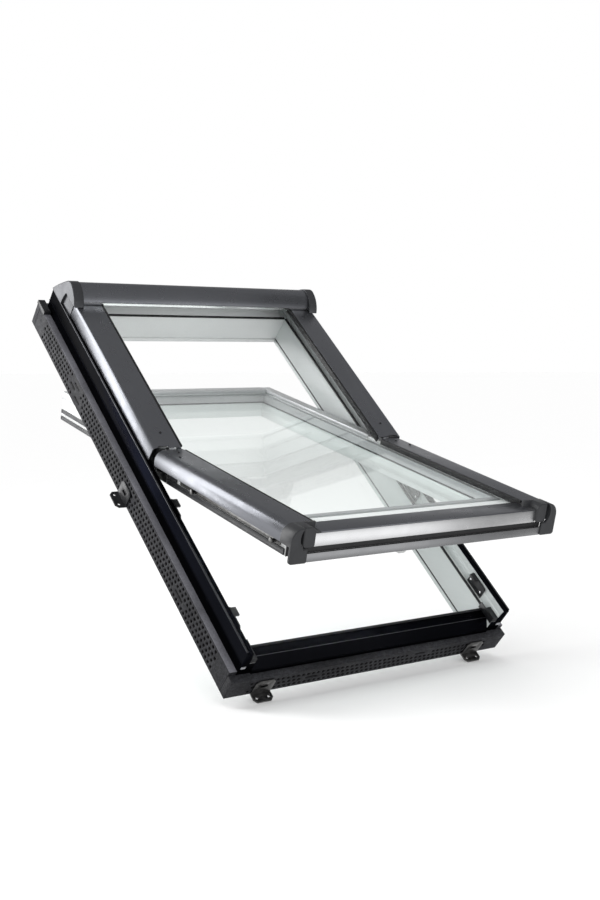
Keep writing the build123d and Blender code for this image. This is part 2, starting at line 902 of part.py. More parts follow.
for side, hand in sides:
    fin = section(across(sash, cap_apron - cap_front), on_side(side, fin_outline), fin_rounds)
    block = section(across(sash, cap_apron - cap_front), on_side(side, block_outline), block_rounds)
    body = section(across(sash, cap_back), on_side(side, body_outline), body_rounds)
    cheek = section(across(sash, cap_back), on_side(side, cheek_outline))
    ledge = section(across(sash, cap_back), on_side(side, ledge_outline))
    with BuildPart() as end_cap:
        extrude(block, amount=cap_apron - cap_block_back)
        block_face = end_cap.faces().sort_by(Axis(sash.origin, sash.y_dir))[0]
        chamfer(block_face.edges(), length=cap_front_chamfer)
        extrude(fin, amount=cap_apron)
        fin_face = end_cap.faces().sort_by(Axis(sash.origin, sash.y_dir))[0]
        chamfer(fin_face.edges(), length=cap_front_chamfer)
        extrude(body, amount=cap_length - cap_apron)
        extrude(cheek, amount=cap_cheek)
        extrude(ledge, amount=cap_back - bottom_front)
        with BuildSketch(across(sash, -cap_front)):
            with BuildLine():
                groove_foot = (side * groove_half, block_foot)
                groove_top = (side * groove_half, cap_top + overrun)
                groove_bow = (side * (groove_half + cap_groove_bulge), groove_middle)
                Line(groove_foot, groove_top)
                ThreePointArc(groove_top, groove_bow, groove_foot)
            make_face()
        extrude(amount=-cap_groove_depth, mode=Mode.SUBTRACT)
    keep(end_cap, f"sash_end_cap_{hand}")

# Claddings of the sash's upper half: capped strips over the upstands
clad_run = sash_top - pivot_v - sash_cladding_gap
stile_clad_outline = [
    (clad_inner, glass_top),
    (rebate_half, glass_top),
    (rebate_half, upstand_top),
    (sash_half, upstand_top),
    (sash_half, upstand_top - sash_cladding_skirt),
    (sash_half + sash_cladding, upstand_top - sash_cladding_skirt),
    (sash_half + sash_cladding, sash_cladding_top),
    (clad_inner, sash_cladding_top),
]
for side, hand in sides:
    stile_clad = bar(across(sash, sash_top), on_side(side, stile_clad_outline), clad_run)
    keep(stile_clad, f"sash_cladding_{hand}")
rail_clad_outline = [
    (clad_low, glass_top),
    (sash_top - sash_upstand, glass_top),
    (sash_top - sash_upstand, upstand_top),
    (sash_top, upstand_top),
    (sash_top, upstand_top - sash_cladding_skirt),
    (sash_top + sash_cladding, upstand_top - sash_cladding_skirt),
    (sash_top + sash_cladding, sash_cladding_top),
    (clad_low, sash_cladding_top),
]
rail_clad = bar(along(sash, -clad_inner), rail_clad_outline, 2 * clad_inner)
keep(rail_clad, "sash_cladding_top")


# Hinges: an eyed plate on each jamb wall, and an eyed plate with the pivot pin on each stile
def hinge_outline(foot):
    shoulder = pivot_n - hinge_shoulder_drop
    return [
        (pivot_v - hinge_down, foot),
        (pivot_v + hinge_up, foot),
        (pivot_v + hinge_up, shoulder),
        (pivot_v + hinge_eye, pivot_n),
        (pivot_v - hinge_eye, pivot_n),
        (pivot_v - hinge_down, shoulder),
    ]


def hinge_sketch(plane, foot):
    with BuildSketch(plane) as plate:
        with BuildLine():
            Polyline(*hinge_outline(foot), close=True)
        make_face()
        with Locations((pivot_v, pivot_n)):
            Circle(hinge_eye)
    return plate.sketch


plate_inner = rib_half - hinge_plate
pin_run = rib_half - pin_end_gap - sash_half
for side, hand in sides:
    frame_plate = hinge_sketch(along(roof, side * plate_inner), ledge_level + hinge_foot_rise)
    with BuildPart() as frame_hinge:
        extrude(frame_plate, amount=side * hinge_plate)
        with BuildSketch(along(roof, side * plate_inner)):
            with Locations((pivot_v, pivot_n)):
                Circle(pin_radius + pin_clearance)
        extrude(amount=side * hinge_plate, mode=Mode.SUBTRACT)
    keep(frame_hinge, f"frame_hinge_{hand}")
    sash_plate = hinge_sketch(along(sash, side * sash_half), sash_back + hinge_foot_rise)
    with BuildPart() as sash_hinge:
        extrude(sash_plate, amount=side * hinge_plate)
        with BuildSketch(along(sash, side * sash_half)):
            with Locations((pivot_v, pivot_n)):
                Circle(pin_radius)
        extrude(amount=side * pin_run)
    keep(sash_hinge, f"sash_hinge_{hand}")

# Lock bars: flat bars on the stiles with two mushroom pins each
bar_inner = sash_half + bar_clearance
bar_outer = bar_inner + bar_thickness
bar_n = ledge_level + bar_rise
bar_start = sash_bottom + bar_low
bar_end = pivot_v - hinge_down - bar_hinge_gap
lock_places = [sash_bottom + lock_low, bar_end - lock_end]
for side, hand in sides:
    with BuildPart() as lock_bar:
        with BuildSketch(along(sash, side * bar_inner)):
            with Locations(((bar_start + bar_end) / 2, bar_n)):
                Rectangle(bar_end - bar_start, bar_width)
        extrude(amount=side * bar_thickness)
        with BuildSketch(along(sash, side * bar_outer)):
            with Locations(*[(place, bar_n) for place in lock_places]):
                Circle(lock_stem_radius)
        extrude(amount=side * lock_stem_length)
        with BuildSketch(along(sash, side * (bar_outer + lock_stem_length))):
            with Locations(*[(place, bar_n) for place in lock_places]):
                Circle(lock_head_radius)
        extrude(amount=side * lock_head_length)
    keep(lock_bar, f"lock_bar_{hand}")

# Keeps: a plate on the jamb wall with a finger that stands over the pin when the bar is thrown
finger_foot = bar_n + lock_head_radius + keep_finger_gap
keep_foot = ledge_level + keep_foot_rise
keep_inner = rib_half - keep_plate
for side, hand in sides:
    with BuildPart() as lock_keeps:
        for place in lock_places:
            finger_start = place + lock_head_radius + keep_finger_gap
            with BuildSketch(along(roof, side * keep_inner)):
                with BuildLine():
                    Polyline(
                        (place - keep_before, keep_foot),
                        (place + keep_after, keep_foot),
                        (place + keep_after, keep_foot + keep_height - keep_corner),
                        (place + keep_after - keep_corner, keep_foot + keep_height),
                        (place - keep_before + keep_corner, keep_foot + keep_height),
                        (place - keep_before, keep_foot + keep_height - keep_corner),
                        close=True,
                    )
                make_face()
            extrude(amount=side * keep_plate)
            with BuildSketch(along(roof, side * keep_inner)):
                with BuildLine():
                    Polyline(
                        (finger_start, finger_foot),
                        (finger_start + keep_finger_length, finger_foot),
                        (finger_start + keep_finger_length, finger_foot + keep_finger_height),
                        (finger_start, finger_foot + keep_finger_height),
                        close=True,
                    )
                make_face()
            extrude(amount=-side * keep_finger_out)
    keep(lock_keeps, f"lock_keeps_{hand}")

# Handle: an oval rosette on the bottom rail, and a lever with its hub and spindle
handle_v = sash_bottom + handle_rise
rosette_top = sash_back - rosette_thickness
with BuildPart() as handle_rosette:
    with BuildSketch(sash.offset(rosette_top)):
        with Locations((0, handle_v)):
            SlotOverall(rosette_length, rosette_width)
            Circle(spindle_radius + spindle_clearance, mode=Mode.SUBTRACT)
    extrude(amount=rosette_thickness)
    room_face = handle_rosette.faces().sort_by(Axis(sash.origin, sash.z_dir))[0]
    chamfer(room_face.outer_wire().edges(), length=rosette_chamfer)
keep(handle_rosette, "handle_rosette")

hub_top = rosette_top - handle_gap
lever_level = hub_top - hub_length
with BuildPart() as handle_lever:
    with BuildSketch(sash.offset(lever_level)):
        with Locations((0, handle_v)):
            Circle(hub_radius)
    extrude(amount=hub_length)
    with BuildSketch(sash.offset(lever_level)):
        with BuildLine():
            FilletPolyline(
                (-lever_root_width / 2, handle_v - lever_root_width / 2),
                (lever_root_width / 2, handle_v - lever_root_width / 2),
                (lever_tip_width / 2, handle_v + lever_length),
                (-lever_tip_width / 2, handle_v + lever_length),
                radius=lever_corner,
                close=True,
            )
        make_face()
    extrude(amount=lever_thickness)
    lever_back = handle_lever.faces().sort_by(Axis(sash.origin, sash.z_dir))[0]
    chamfer(lever_back.outer_wire().edges(), length=lever_chamfer)
    with BuildSketch(sash.offset(hub_top)):
        with Locations((0, handle_v)):
            Circle(spindle_radius)
    extrude(amount=rosette_thickness + handle_gap - spindle_end_gap)
keep(handle_lever, "handle_lever")


# Mounting brackets: folded angles on the insulation with a screw foot in the roof plane
def bracket(u, v, outward):
    # x runs along the strip's outer face, y away from the strip and z out of the roof
    ground = Plane(roof.from_local_coords((u, v, 0)), x_dir=outward.cross(roof.z_dir), z_dir=roof.z_dir)
    upright = Plane(ground.origin, x_dir=ground.x_dir, z_dir=ground.y_dir)
    half = bracket_width / 2
    with BuildPart() as angle:
        with BuildSketch(ground):
            with BuildLine():
                Polyline(
                    (-half, 0),
                    (half, 0),
                    (half, bracket_foot - bracket_corner),
                    (half - bracket_corner, bracket_foot),
                    (bracket_corner - half, bracket_foot),
                    (-half, bracket_foot - bracket_corner),
                    close=True,
                )
            make_face()
            with Locations((0, bracket_hole_out)):
                with GridLocations(bracket_hole_pitch, 0, 2, 1):
                    Circle(bracket_hole_radius, mode=Mode.SUBTRACT)
        extrude(amount=bracket_plate)
        with BuildSketch(upright):
            with BuildLine():
                Polyline(
                    (-half, 0),
                    (half, 0),
                    (half, bracket_corner - bracket_rise),
                    (half - bracket_corner, -bracket_rise),
                    (bracket_corner - half, -bracket_rise),
                    (-half, bracket_corner - bracket_rise),
                    close=True,
                )
            make_face()
            with Locations((0, -bracket_slot_rise)):
                SlotOverall(bracket_slot_length, bracket_slot_width, mode=Mode.SUBTRACT)
        extrude(amount=bracket_plate)
    return angle


bracket_place = insulation_half - bracket_inset
for side, hand in sides:
    side_bracket = bracket(side * insulation_half, pivot_v, side * roof.x_dir)
    keep(side_bracket, f"bracket_{hand}")
    sill_bracket = bracket(side * bracket_place, -insulation_thickness, -roof.y_dir)
    keep(sill_bracket, f"bracket_sill_{hand}")
    head_bracket = bracket(side * bracket_place, frame_height + insulation_thickness, roof.y_dir)
    keep(head_bracket, f"bracket_head_{hand}")
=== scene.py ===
import bpy
import json
import math
from mathutils import Euler, Matrix, Vector

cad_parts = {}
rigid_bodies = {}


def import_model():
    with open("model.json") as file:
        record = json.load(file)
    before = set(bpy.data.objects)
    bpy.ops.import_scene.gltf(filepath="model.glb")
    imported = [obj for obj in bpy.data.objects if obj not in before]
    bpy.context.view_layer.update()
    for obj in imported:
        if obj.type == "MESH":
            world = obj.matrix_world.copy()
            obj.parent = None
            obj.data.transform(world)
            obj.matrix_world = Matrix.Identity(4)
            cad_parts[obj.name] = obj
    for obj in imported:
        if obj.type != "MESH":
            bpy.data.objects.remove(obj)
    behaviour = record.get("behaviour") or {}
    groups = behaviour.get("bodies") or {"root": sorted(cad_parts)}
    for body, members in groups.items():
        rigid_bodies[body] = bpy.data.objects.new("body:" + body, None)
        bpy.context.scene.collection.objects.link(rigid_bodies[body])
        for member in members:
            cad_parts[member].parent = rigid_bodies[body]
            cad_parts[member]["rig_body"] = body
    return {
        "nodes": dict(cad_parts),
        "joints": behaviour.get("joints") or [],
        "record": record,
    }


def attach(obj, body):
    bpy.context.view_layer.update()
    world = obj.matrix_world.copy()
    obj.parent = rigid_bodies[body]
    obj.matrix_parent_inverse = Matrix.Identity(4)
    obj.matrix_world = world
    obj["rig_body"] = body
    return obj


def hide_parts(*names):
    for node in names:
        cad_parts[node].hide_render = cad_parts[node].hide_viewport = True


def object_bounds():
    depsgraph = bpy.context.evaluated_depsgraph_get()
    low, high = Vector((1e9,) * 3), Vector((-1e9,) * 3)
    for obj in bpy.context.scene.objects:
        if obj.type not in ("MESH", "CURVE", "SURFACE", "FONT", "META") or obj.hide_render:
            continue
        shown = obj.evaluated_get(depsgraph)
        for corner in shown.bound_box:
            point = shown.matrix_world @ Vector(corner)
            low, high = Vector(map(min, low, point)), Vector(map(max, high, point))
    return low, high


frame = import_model()
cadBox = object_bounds()
scene = bpy.context.scene
print("frame loaded:", len(frame["nodes"]), "nodes")

# window directions: u across, v up the slope, n out of the roof
record = frame["record"]
mounts = {mount["name"]: mount for mount in record["mounts"]}
joints = {joint["name"]: joint for joint in frame["joints"]}
hands = ((-1, "left"), (1, "right"))
uAxis = Vector((1, 0, 0))
roofNormal = -Vector(mounts["sill_back"]["axis"])
roofUp = roofNormal.cross(uAxis)
sashNormal = Vector(joints["handle_turn"]["axis"])
sashUp = sashNormal.cross(uAxis)
pivot = Vector(joints["sash_pivot"]["pos_m"])
sashOrigin = pivot - sashUp * pivot.dot(roofUp) - sashNormal * pivot.dot(roofNormal)
roofTurn = math.atan2(roofUp.z, roofUp.y)
sashTurn = math.atan2(sashUp.z, sashUp.y)


def placeOf(origin, along, up, outward):
    # matrix that takes local x, y, z to three directions at a point
    turn = Matrix((along, up, outward)).transposed().to_4x4()
    return Matrix.Translation(origin) @ turn


roofPlace = placeOf(Vector((0, 0, 0)), uAxis, roofUp, roofNormal)
sashPlace = placeOf(sashOrigin, uAxis, sashUp, sashNormal)


# camera at the photograph's angle, fitted to a 600 by 900 picture
cameraValues = {
    "place": (-1.76161, -2.18652, 0.68926),
    "turn": (85.83685, 0.16928, -35.86992),
    "lens": 50.4612,
    "sensor": 36.0,
}


def addCamera(values):
    data = bpy.data.cameras.new("photoCamera")
    data.lens = values["lens"]
    data.sensor_width = values["sensor"]
    camera = bpy.data.objects.new("photoCamera", data)
    camera.location = values["place"]
    camera.rotation_euler = Euler([math.radians(a) for a in values["turn"]])
    scene.collection.objects.link(camera)
    scene.camera = camera


# white studio: what is seen and what lights is white, glossy faces see bands of grey
studioValues = {
    "strength": 1.0, "coolTint": 1.01,
    "backBands": ((0.0, 0.6), (0.46, 1.0), (0.56, 0.95), (0.64, 0.5), (0.72, 0.27), (1.0, 0.24)),
    "frontBands": ((0.0, 0.35), (0.18, 0.6), (0.26, 1.0), (0.4, 0.95), (0.5, 0.36), (1.0, 0.24)),
    "frontEdge": (-0.05, -0.35),
    "frontFade": (0.64, 0.76, 1.0, 0.34),
}
panelValues = (
    {"name": "leftPanel", "place": (-1.75, 3.3, 1.8), "aim": (0.0, 3.3, 1.8),
     "width": 2.6, "height": 4.0, "glow": 3.9, "dull": False, "glossy": True},
    {"name": "upperPanel", "place": (-1.75, 1.45, 2.1), "aim": (0.0, 1.45, 2.1),
     "width": 1.1, "height": 2.4, "glow": 3.9, "dull": False, "glossy": True},
    {"name": "frontPanel", "place": (-0.8, -3.2, 0.9), "aim": (0.0, 0.6, 0.55),
     "width": 2.6, "height": 1.4, "glow": 3.0, "dull": True, "glossy": False},
    {"name": "cornerPanel", "place": (-1.5, 1.5, 1.3), "aim": (-0.39, 0.8, 0.7),
     "width": 0.8, "height": 0.8, "glow": 11.0, "dull": True, "glossy": False},
)


def bandRamp(tree, height, bands, coolTint):
    ramp = tree.nodes.new("ShaderNodeValToRGB")
    stops = ramp.color_ramp.elements
    while len(stops) < len(bands):
        stops.new(0.5)
    for stop, (position, grey) in zip(stops, bands):
        stop.position = position
        stop.color = (grey, grey, grey * coolTint, 1)
    tree.links.new(height, ramp.inputs["Fac"])
    return ramp.outputs["Color"]


def mixColor(tree, factor, first, second):
    mix = tree.nodes.new("ShaderNodeMix")
    mix.data_type = "RGBA"
    tree.links.new(factor, mix.inputs["Factor"])
    for label, value in (("A", first), ("B", second)):
        if hasattr(value, "is_output"):
            tree.links.new(value, mix.inputs[label])
        else:
            mix.inputs[label].default_value = (*value, 1)
    return mix.outputs["Result"]


def addStudio(values):
    world = bpy.data.worlds.new("whiteStudio")
    scene.world = world
    world.use_nodes = True
    tree = world.node_tree
    tree.nodes.clear()
    direction = tree.nodes.new("ShaderNodeTexCoord")
    parts = tree.nodes.new("ShaderNodeSeparateXYZ")
    tree.links.new(direction.outputs["Generated"], parts.inputs["Vector"])
    height = mapRange(tree, parts.outputs["Z"], -1, 1, 0, 1)
    fade = mapRange(tree, parts.outputs["X"], *values["frontFade"])
    back, front = (bandRamp(tree, height, values[key], values["coolTint"])
                   for key in ("backBands", "frontBands"))
    inFront = mapRange(tree, parts.outputs["Y"], *values["frontEdge"], 0, 1)
    bands = mixColor(tree, inFront, back, scaleColor(tree, front, fade))
    path = tree.nodes.new("ShaderNodeLightPath")
    mirrored = mathNode(tree, "SUBTRACT", path.outputs["Is Glossy Ray"],
                        path.outputs["Is Transmission Ray"])
    sky = tree.nodes.new("ShaderNodeBackground")
    sky.inputs["Strength"].default_value = values["strength"]
    output = tree.nodes.new("ShaderNodeOutputWorld")
    tree.links.new(mixColor(tree, mirrored, (1, 1, 1), bands), sky.inputs["Color"])
    tree.links.new(sky.outputs["Background"], output.inputs["Surface"])


def addPanel(values):
    data = bpy.data.lights.new(values["name"], "AREA")
    data.shape = "RECTANGLE"
    data.size, data.size_y = values["width"], values["height"]
    data.energy = values["glow"] * math.pi * values["width"] * values["height"]
    lamp = bpy.data.objects.new(values["name"], data)
    lamp.location = values["place"]
    aim = Vector(values["aim"]) - lamp.location
    lamp.rotation_euler = aim.to_track_quat("-Z", "Y").to_euler()
    lamp.visible_camera = False
    lamp.visible_diffuse = values["dull"]
    lamp.visible_glossy = values["glossy"]
    lamp.visible_transmission = False
    scene.collection.objects.link(lamp)


# shader groups shared by the finishes
def newGroup(name, inputs, outputs):
    group = bpy.data.node_groups.new(name, "ShaderNodeTree")
    for label, kind, value in inputs:
        socket = group.interface.new_socket(name=label, in_out="INPUT", socket_type=kind)
        socket.default_value = value
    for label, kind in outputs:
        group.interface.new_socket(name=label, in_out="OUTPUT", socket_type=kind)
    ends = group.nodes.new("NodeGroupInput"), group.nodes.new("NodeGroupOutput")
    return group, ends[0].outputs, ends[1].inputs


def mapRange(tree, source, low, high, toLow, toHigh):
    node = tree.nodes.new("ShaderNodeMapRange")
    tree.links.new(source, node.inputs["Value"])
    for label, value in (("From Min", low), ("From Max", high), ("To Min", toLow), ("To Max", toHigh)):
        if hasattr(value, "is_output"):
            tree.links.new(value, node.inputs[label])
        else:
            node.inputs[label].default_value = value
    return node.outputs["Result"]


def noise(tree, vector, scale, detail):
    node = tree.nodes.new("ShaderNodeTexNoise")
    tree.links.new(vector, node.inputs["Vector"])
    if hasattr(scale, "is_output"):
        tree.links.new(scale, node.inputs["Scale"])
    else:
        node.inputs["Scale"].default_value = scale
    node.inputs["Detail"].default_value = detail
    return node.outputs["Fac"]


def mathNode(tree, operation, first, second):
    node = tree.nodes.new("ShaderNodeMath")
    node.operation = operation
    for place, value in enumerate((first, second)):
        if hasattr(value, "is_output"):
            tree.links.new(value, node.inputs[place])
        else:
            node.inputs[place].default_value = value
    return node.outputs["Value"]


def scaleColor(tree, color, factor):
    node = tree.nodes.new("ShaderNodeVectorMath")
    node.operation = "SCALE"
    tree.links.new(color, node.inputs[0])
    tree.links.new(factor, node.inputs["Scale"])
    return node.outputs["Vector"]


# what the groups share: how far noise strays from its middle, and how fine it is
filmValues = {
    "spread": (0.3, 0.7), "cloudDetail": 4, "smearScale": 38, "smearDetail": 3, "smear": (0.86, 1.14),
    "skinDetail": 2, "lineDetail": 5, "beadReach": 0.7, "bumpStrength": 0.3, "bumpDepth": 0.00005,
}


# slow clouds of tone and gloss over a fine pebbled skin
def makeSurfaceFilm(values):
    group, given, result = newGroup(
        "surfaceFilm",
        (("Vector", "NodeSocketVector", (0, 0, 0)), ("Tone", "NodeSocketColor", (0.5, 0.5, 0.5, 1)),
         ("Gloss", "NodeSocketFloat", 0.4), ("Cloud Scale", "NodeSocketFloat", 6.0),
         ("Cloud Share", "NodeSocketFloat", 0.06), ("Skin Scale", "NodeSocketFloat", 900.0)),
        (("Color", "NodeSocketColor"), ("Roughness", "NodeSocketFloat"), ("Height", "NodeSocketFloat")),
    )
    cloud = noise(group, given["Vector"], given["Cloud Scale"], values["cloudDetail"])
    darker = mathNode(group, "SUBTRACT", 1, given["Cloud Share"])
    lighter = mathNode(group, "ADD", 1, given["Cloud Share"])
    tone = mapRange(group, cloud, *values["spread"], darker, lighter)
    group.links.new(scaleColor(group, given["Tone"], tone), result["Color"])
    patches = noise(group, given["Vector"], values["smearScale"], values["smearDetail"])
    smear = mapRange(group, patches, *values["spread"], *values["smear"])
    group.links.new(mathNode(group, "MULTIPLY", given["Gloss"], smear), result["Roughness"])
    skin = noise(group, given["Vector"], given["Skin Scale"], values["skinDetail"])
    group.links.new(skin, result["Height"])
    return group


# fine parallel lines of a drawn or brushed bar: the vector comes in stretched along the bar
def makeDrawnLines(values):
    group, given, result = newGroup(
        "drawnLines",
        (("Vector", "NodeSocketVector", (0, 0, 0)), ("Line Scale", "NodeSocketFloat", 900.0)),
        (("Mask", "NodeSocketFloat"), ("Height", "NodeSocketFloat")),
    )
    lines = noise(group, given["Vector"], given["Line Scale"], values["lineDetail"])
    group.links.new(mapRange(group, lines, *values["spread"], 0, 1), result["Mask"])
    group.links.new(lines, result["Height"])
    return group


# packed beads of an expanded foam
def makeFoamBeads(values):
    group, given, result = newGroup(
        "foamBeads",
        (("Vector", "NodeSocketVector", (0, 0, 0)), ("Bead Scale", "NodeSocketFloat", 260.0)),
        (("Mask", "NodeSocketFloat"), ("Height", "NodeSocketFloat")),
    )
    beads = group.nodes.new("ShaderNodeTexVoronoi")
    group.links.new(given["Vector"], beads.inputs["Vector"])
    group.links.new(given["Bead Scale"], beads.inputs["Scale"])
    parts = group.nodes.new("ShaderNodeSeparateXYZ")
    group.links.new(beads.outputs["Color"], parts.inputs["Vector"])
    group.links.new(parts.outputs["X"], result["Mask"])
    height = mapRange(group, beads.outputs["Distance"], 0, values["beadReach"], 1, 0)
    group.links.new(height, result["Height"])
    return group


surfaceFilm = makeSurfaceFilm(filmValues)
drawnLines = makeDrawnLines(filmValues)
foamBeads = makeFoamBeads(filmValues)
print("shader groups ready")


def newFinish(name, values):
    # a principled shader with the surface film in front of it
    material = bpy.data.materials.new(name)
    material.use_nodes = True
    tree = material.node_tree
    tree.nodes.clear()
    output = tree.nodes.new("ShaderNodeOutputMaterial")
    shader = tree.nodes.new("ShaderNodeBsdfPrincipled")
    tree.links.new(shader.outputs["BSDF"], output.inputs["Surface"])
    for label, value in values.get("shader", {}).items():
        shader.inputs[label].default_value = value
    coord = tree.nodes.new("ShaderNodeTexCoord")
    film = tree.nodes.new("ShaderNodeGroup")
    film.node_tree = surfaceFilm
    film.inputs["Tone"].default_value = (*values["tone"], 1)
    film.inputs["Gloss"].default_value = values["gloss"]
    for label, value in values.get("film", {}).items():
        film.inputs[label].default_value = value
    tree.links.new(coord.outputs["Object"], film.inputs["Vector"])
    tree.links.new(film.outputs["Color"], shader.inputs["Base Color"])
    tree.links.new(film.outputs["Roughness"], shader.inputs["Roughness"])
    bump = tree.nodes.new("ShaderNodeBump")
    bump.inputs["Strength"].default_value = values.get("bumpStrength", filmValues["bumpStrength"])
    bump.inputs["Distance"].default_value = values.get("bumpDepth", filmValues["bumpDepth"])
    tree.links.new(film.outputs["Height"], bump.inputs["Height"])
    tree.links.new(bump.outputs["Normal"], shader.inputs["Normal"])
    return material, tree, shader, film, bump, coord


def addLines(tree, shader, film, bump, coord, values):
    # drawn lines along the bar, over the film's colour and relief
    turned = tree.nodes.new("ShaderNodeMapping")
    turned.inputs["Rotation"].default_value = (-values["turn"], 0, 0)
    turned.inputs["Scale"].default_value = values["stretch"]
    lines = tree.nodes.new("ShaderNodeGroup")
    lines.node_tree = drawnLines
    lines.inputs["Line Scale"].default_value = values["scale"]
    tree.links.new(coord.outputs["Object"], turned.inputs["Vector"])
    tree.links.new(turned.outputs["Vector"], lines.inputs["Vector"])
    share = values["share"]
    tone = mapRange(tree, lines.outputs["Mask"], 0, 1, 1 - share, 1 + share)
    tree.links.new(scaleColor(tree, film.outputs["Color"], tone), shader.inputs["Base Color"])
    rough = mathNode(tree, "MULTIPLY", film.outputs["Roughness"], tone)
    tree.links.new(rough, shader.inputs["Roughness"])
    tree.links.new(lines.outputs["Height"], bump.inputs["Height"])


# finishes of coated, moulded and drawn faces
finishValues = {
    "anthraciteCoat": {
        "tone": (0.238, 0.245, 0.266), "gloss": 0.30, "bumpDepth": 0.00003, "bumpStrength": 0.04,
        "film": {"Cloud Share": 0.04, "Skin Scale": 1100.0},
        "shader": {"Metallic": 0.95, "Specular IOR Level": 0.3},
    },
    "frameBlack": {
        "tone": (0.009, 0.0095, 0.012), "gloss": 0.24, "bumpDepth": 0.00004, "bumpStrength": 0.15,
        "film": {"Cloud Share": 0.2, "Skin Scale": 420.0},
        "shader": {"Metallic": 0.9, "Specular Tint": (0.3, 0.31, 0.34, 1), "Specular IOR Level": 0.1},
    },
    "whiteProfile": {
        "tone": (0.87, 0.882, 0.88), "gloss": 0.36,
        "film": {"Cloud Share": 0.015, "Skin Scale": 700.0},
        "lines": {"turn": sashTurn, "stretch": (1, 0.02, 1), "scale": 260.0, "share": 0.012},
        "shader": {"Specular IOR Level": 0.5},
    },
    # painted shade: a greyer copy of the white profile, for the jamb linings that lie in shade
    "liningWhiteShaded": {
        "tone": (0.63, 0.662, 0.658), "gloss": 0.36,
        "film": {"Cloud Share": 0.015, "Skin Scale": 700.0},
        "lines": {"turn": roofTurn, "stretch": (1, 0.02, 1), "scale": 260.0, "share": 0.012},
        "shader": {"Specular IOR Level": 0.5},
    },
    "paleCladding": {
        "tone": (0.66, 0.675, 0.68), "gloss": 0.34,
        "film": {"Cloud Share": 0.03},
        "lines": {"turn": sashTurn, "stretch": (1, 0.02, 1), "scale": 420.0, "share": 0.03},
        "shader": {"Metallic": 0.4},
    },
    "brightAluminium": {
        "tone": (0.93, 0.935, 0.94), "gloss": 0.24, "bumpStrength": 0.005, "bumpDepth": 0.00001,
        "film": {"Cloud Share": 0.015},
        "lines": {"turn": sashTurn, "stretch": (0.012, 1, 1), "scale": 700.0, "share": 0.012},
        "shader": {"Metallic": 1.0},
    },
    "apronSatin": {
        "tone": (0.38, 0.384, 0.392), "gloss": 0.28, "bumpStrength": 0.005, "bumpDepth": 0.00001,
        "film": {"Cloud Share": 0.015},
        "lines": {"turn": sashTurn, "stretch": (0.012, 1, 1), "scale": 700.0, "share": 0.012},
        "shader": {"Metallic": 1.0},
    },
    "sealRubber": {
        "tone": (0.012, 0.012, 0.013), "gloss": 0.48, "bumpDepth": 0.0001,
        "film": {"Cloud Share": 0.2, "Skin Scale": 1600.0},
    },
    "capPlastic": {
        "tone": (0.030, 0.0312, 0.034), "gloss": 0.40, "bumpDepth": 0.00009, "bumpStrength": 0.3,
        "film": {"Cloud Share": 0.06, "Skin Scale": 1500.0},
        "shader": {"Specular IOR Level": 0.5},
    },
    "hoodCapSatin": {
        "tone": (0.085, 0.087, 0.093), "gloss": 0.38, "bumpDepth": 0.00005, "bumpStrength": 0.12,
        "film": {"Cloud Share": 0.06, "Skin Scale": 1300.0},
        "shader": {"Metallic": 0.72, "Specular IOR Level": 0.4},
    },
    "railPlastic": {
        "tone": (0.012, 0.0125, 0.014), "gloss": 0.34, "bumpDepth": 0.00006,
        "film": {"Cloud Share": 0.1, "Skin Scale": 900.0},
        "shader": {"Specular IOR Level": 0.35},
    },
    "guidePlastic": {
        "tone": (0.036, 0.037, 0.040), "gloss": 0.42, "bumpDepth": 0.00006,
        "film": {"Cloud Share": 0.1, "Skin Scale": 900.0},
        "shader": {"Specular IOR Level": 0.35},
    },
    # painted highlight: light metallic grey for strips that stand in for light caught on ribs
    "highlightGrey": {
        "tone": (0.07, 0.072, 0.079), "gloss": 0.4, "bumpDepth": 0.00003, "bumpStrength": 0.1,
        "film": {"Cloud Share": 0.2, "Cloud Scale": 16.0, "Skin Scale": 800.0},
        "shader": {"Metallic": 0.8},
    },
    "trimSilver": {
        "tone": (0.62, 0.63, 0.66), "gloss": 0.3, "bumpDepth": 0.00003, "bumpStrength": 0.1,
        "film": {"Cloud Share": 0.05, "Skin Scale": 800.0},
        "shader": {"Metallic": 0.9},
    },
    "spacerDull": {
        "tone": (0.50, 0.51, 0.52), "gloss": 0.5,
        "film": {"Cloud Share": 0.05},
        "lines": {"turn": sashTurn, "stretch": (1, 0.02, 1), "scale": 700.0, "share": 0.06},
        "shader": {"Metallic": 0.7},
    },
    "zincSteel": {
        "tone": (0.56, 0.57, 0.58), "gloss": 0.26, "bumpDepth": 0.00004,
        "film": {"Cloud Scale": 90.0, "Cloud Share": 0.16, "Skin Scale": 500.0},
        "shader": {"Metallic": 1.0},
    },
    "dullSteel": {
        "tone": (0.13, 0.129, 0.126), "gloss": 0.30, "bumpDepth": 0.00006,
        "film": {"Cloud Scale": 90.0, "Cloud Share": 0.3, "Skin Scale": 500.0},
        "shader": {"Metallic": 1.0},
    },
    "blackSteel": {
        "tone": (0.014, 0.0145, 0.016), "gloss": 0.36, "bumpDepth": 0.00006,
        "film": {"Cloud Scale": 60.0, "Cloud Share": 0.2, "Skin Scale": 700.0},
        "shader": {"Specular IOR Level": 0.4},
    },
    "handleWhite": {
        "tone": (0.84, 0.845, 0.845), "gloss": 0.22,
        "film": {"Cloud Share": 0.01, "Skin Scale": 1200.0},
        "shader": {"Coat Weight": 0.3, "Coat Roughness": 0.08},
    },
}


def makeFinish(name, values):
    material, tree, shader, film, bump, coord = newFinish(name, values)
    if "lines" in values:
        addLines(tree, shader, film, bump, coord, values["lines"])
    return material
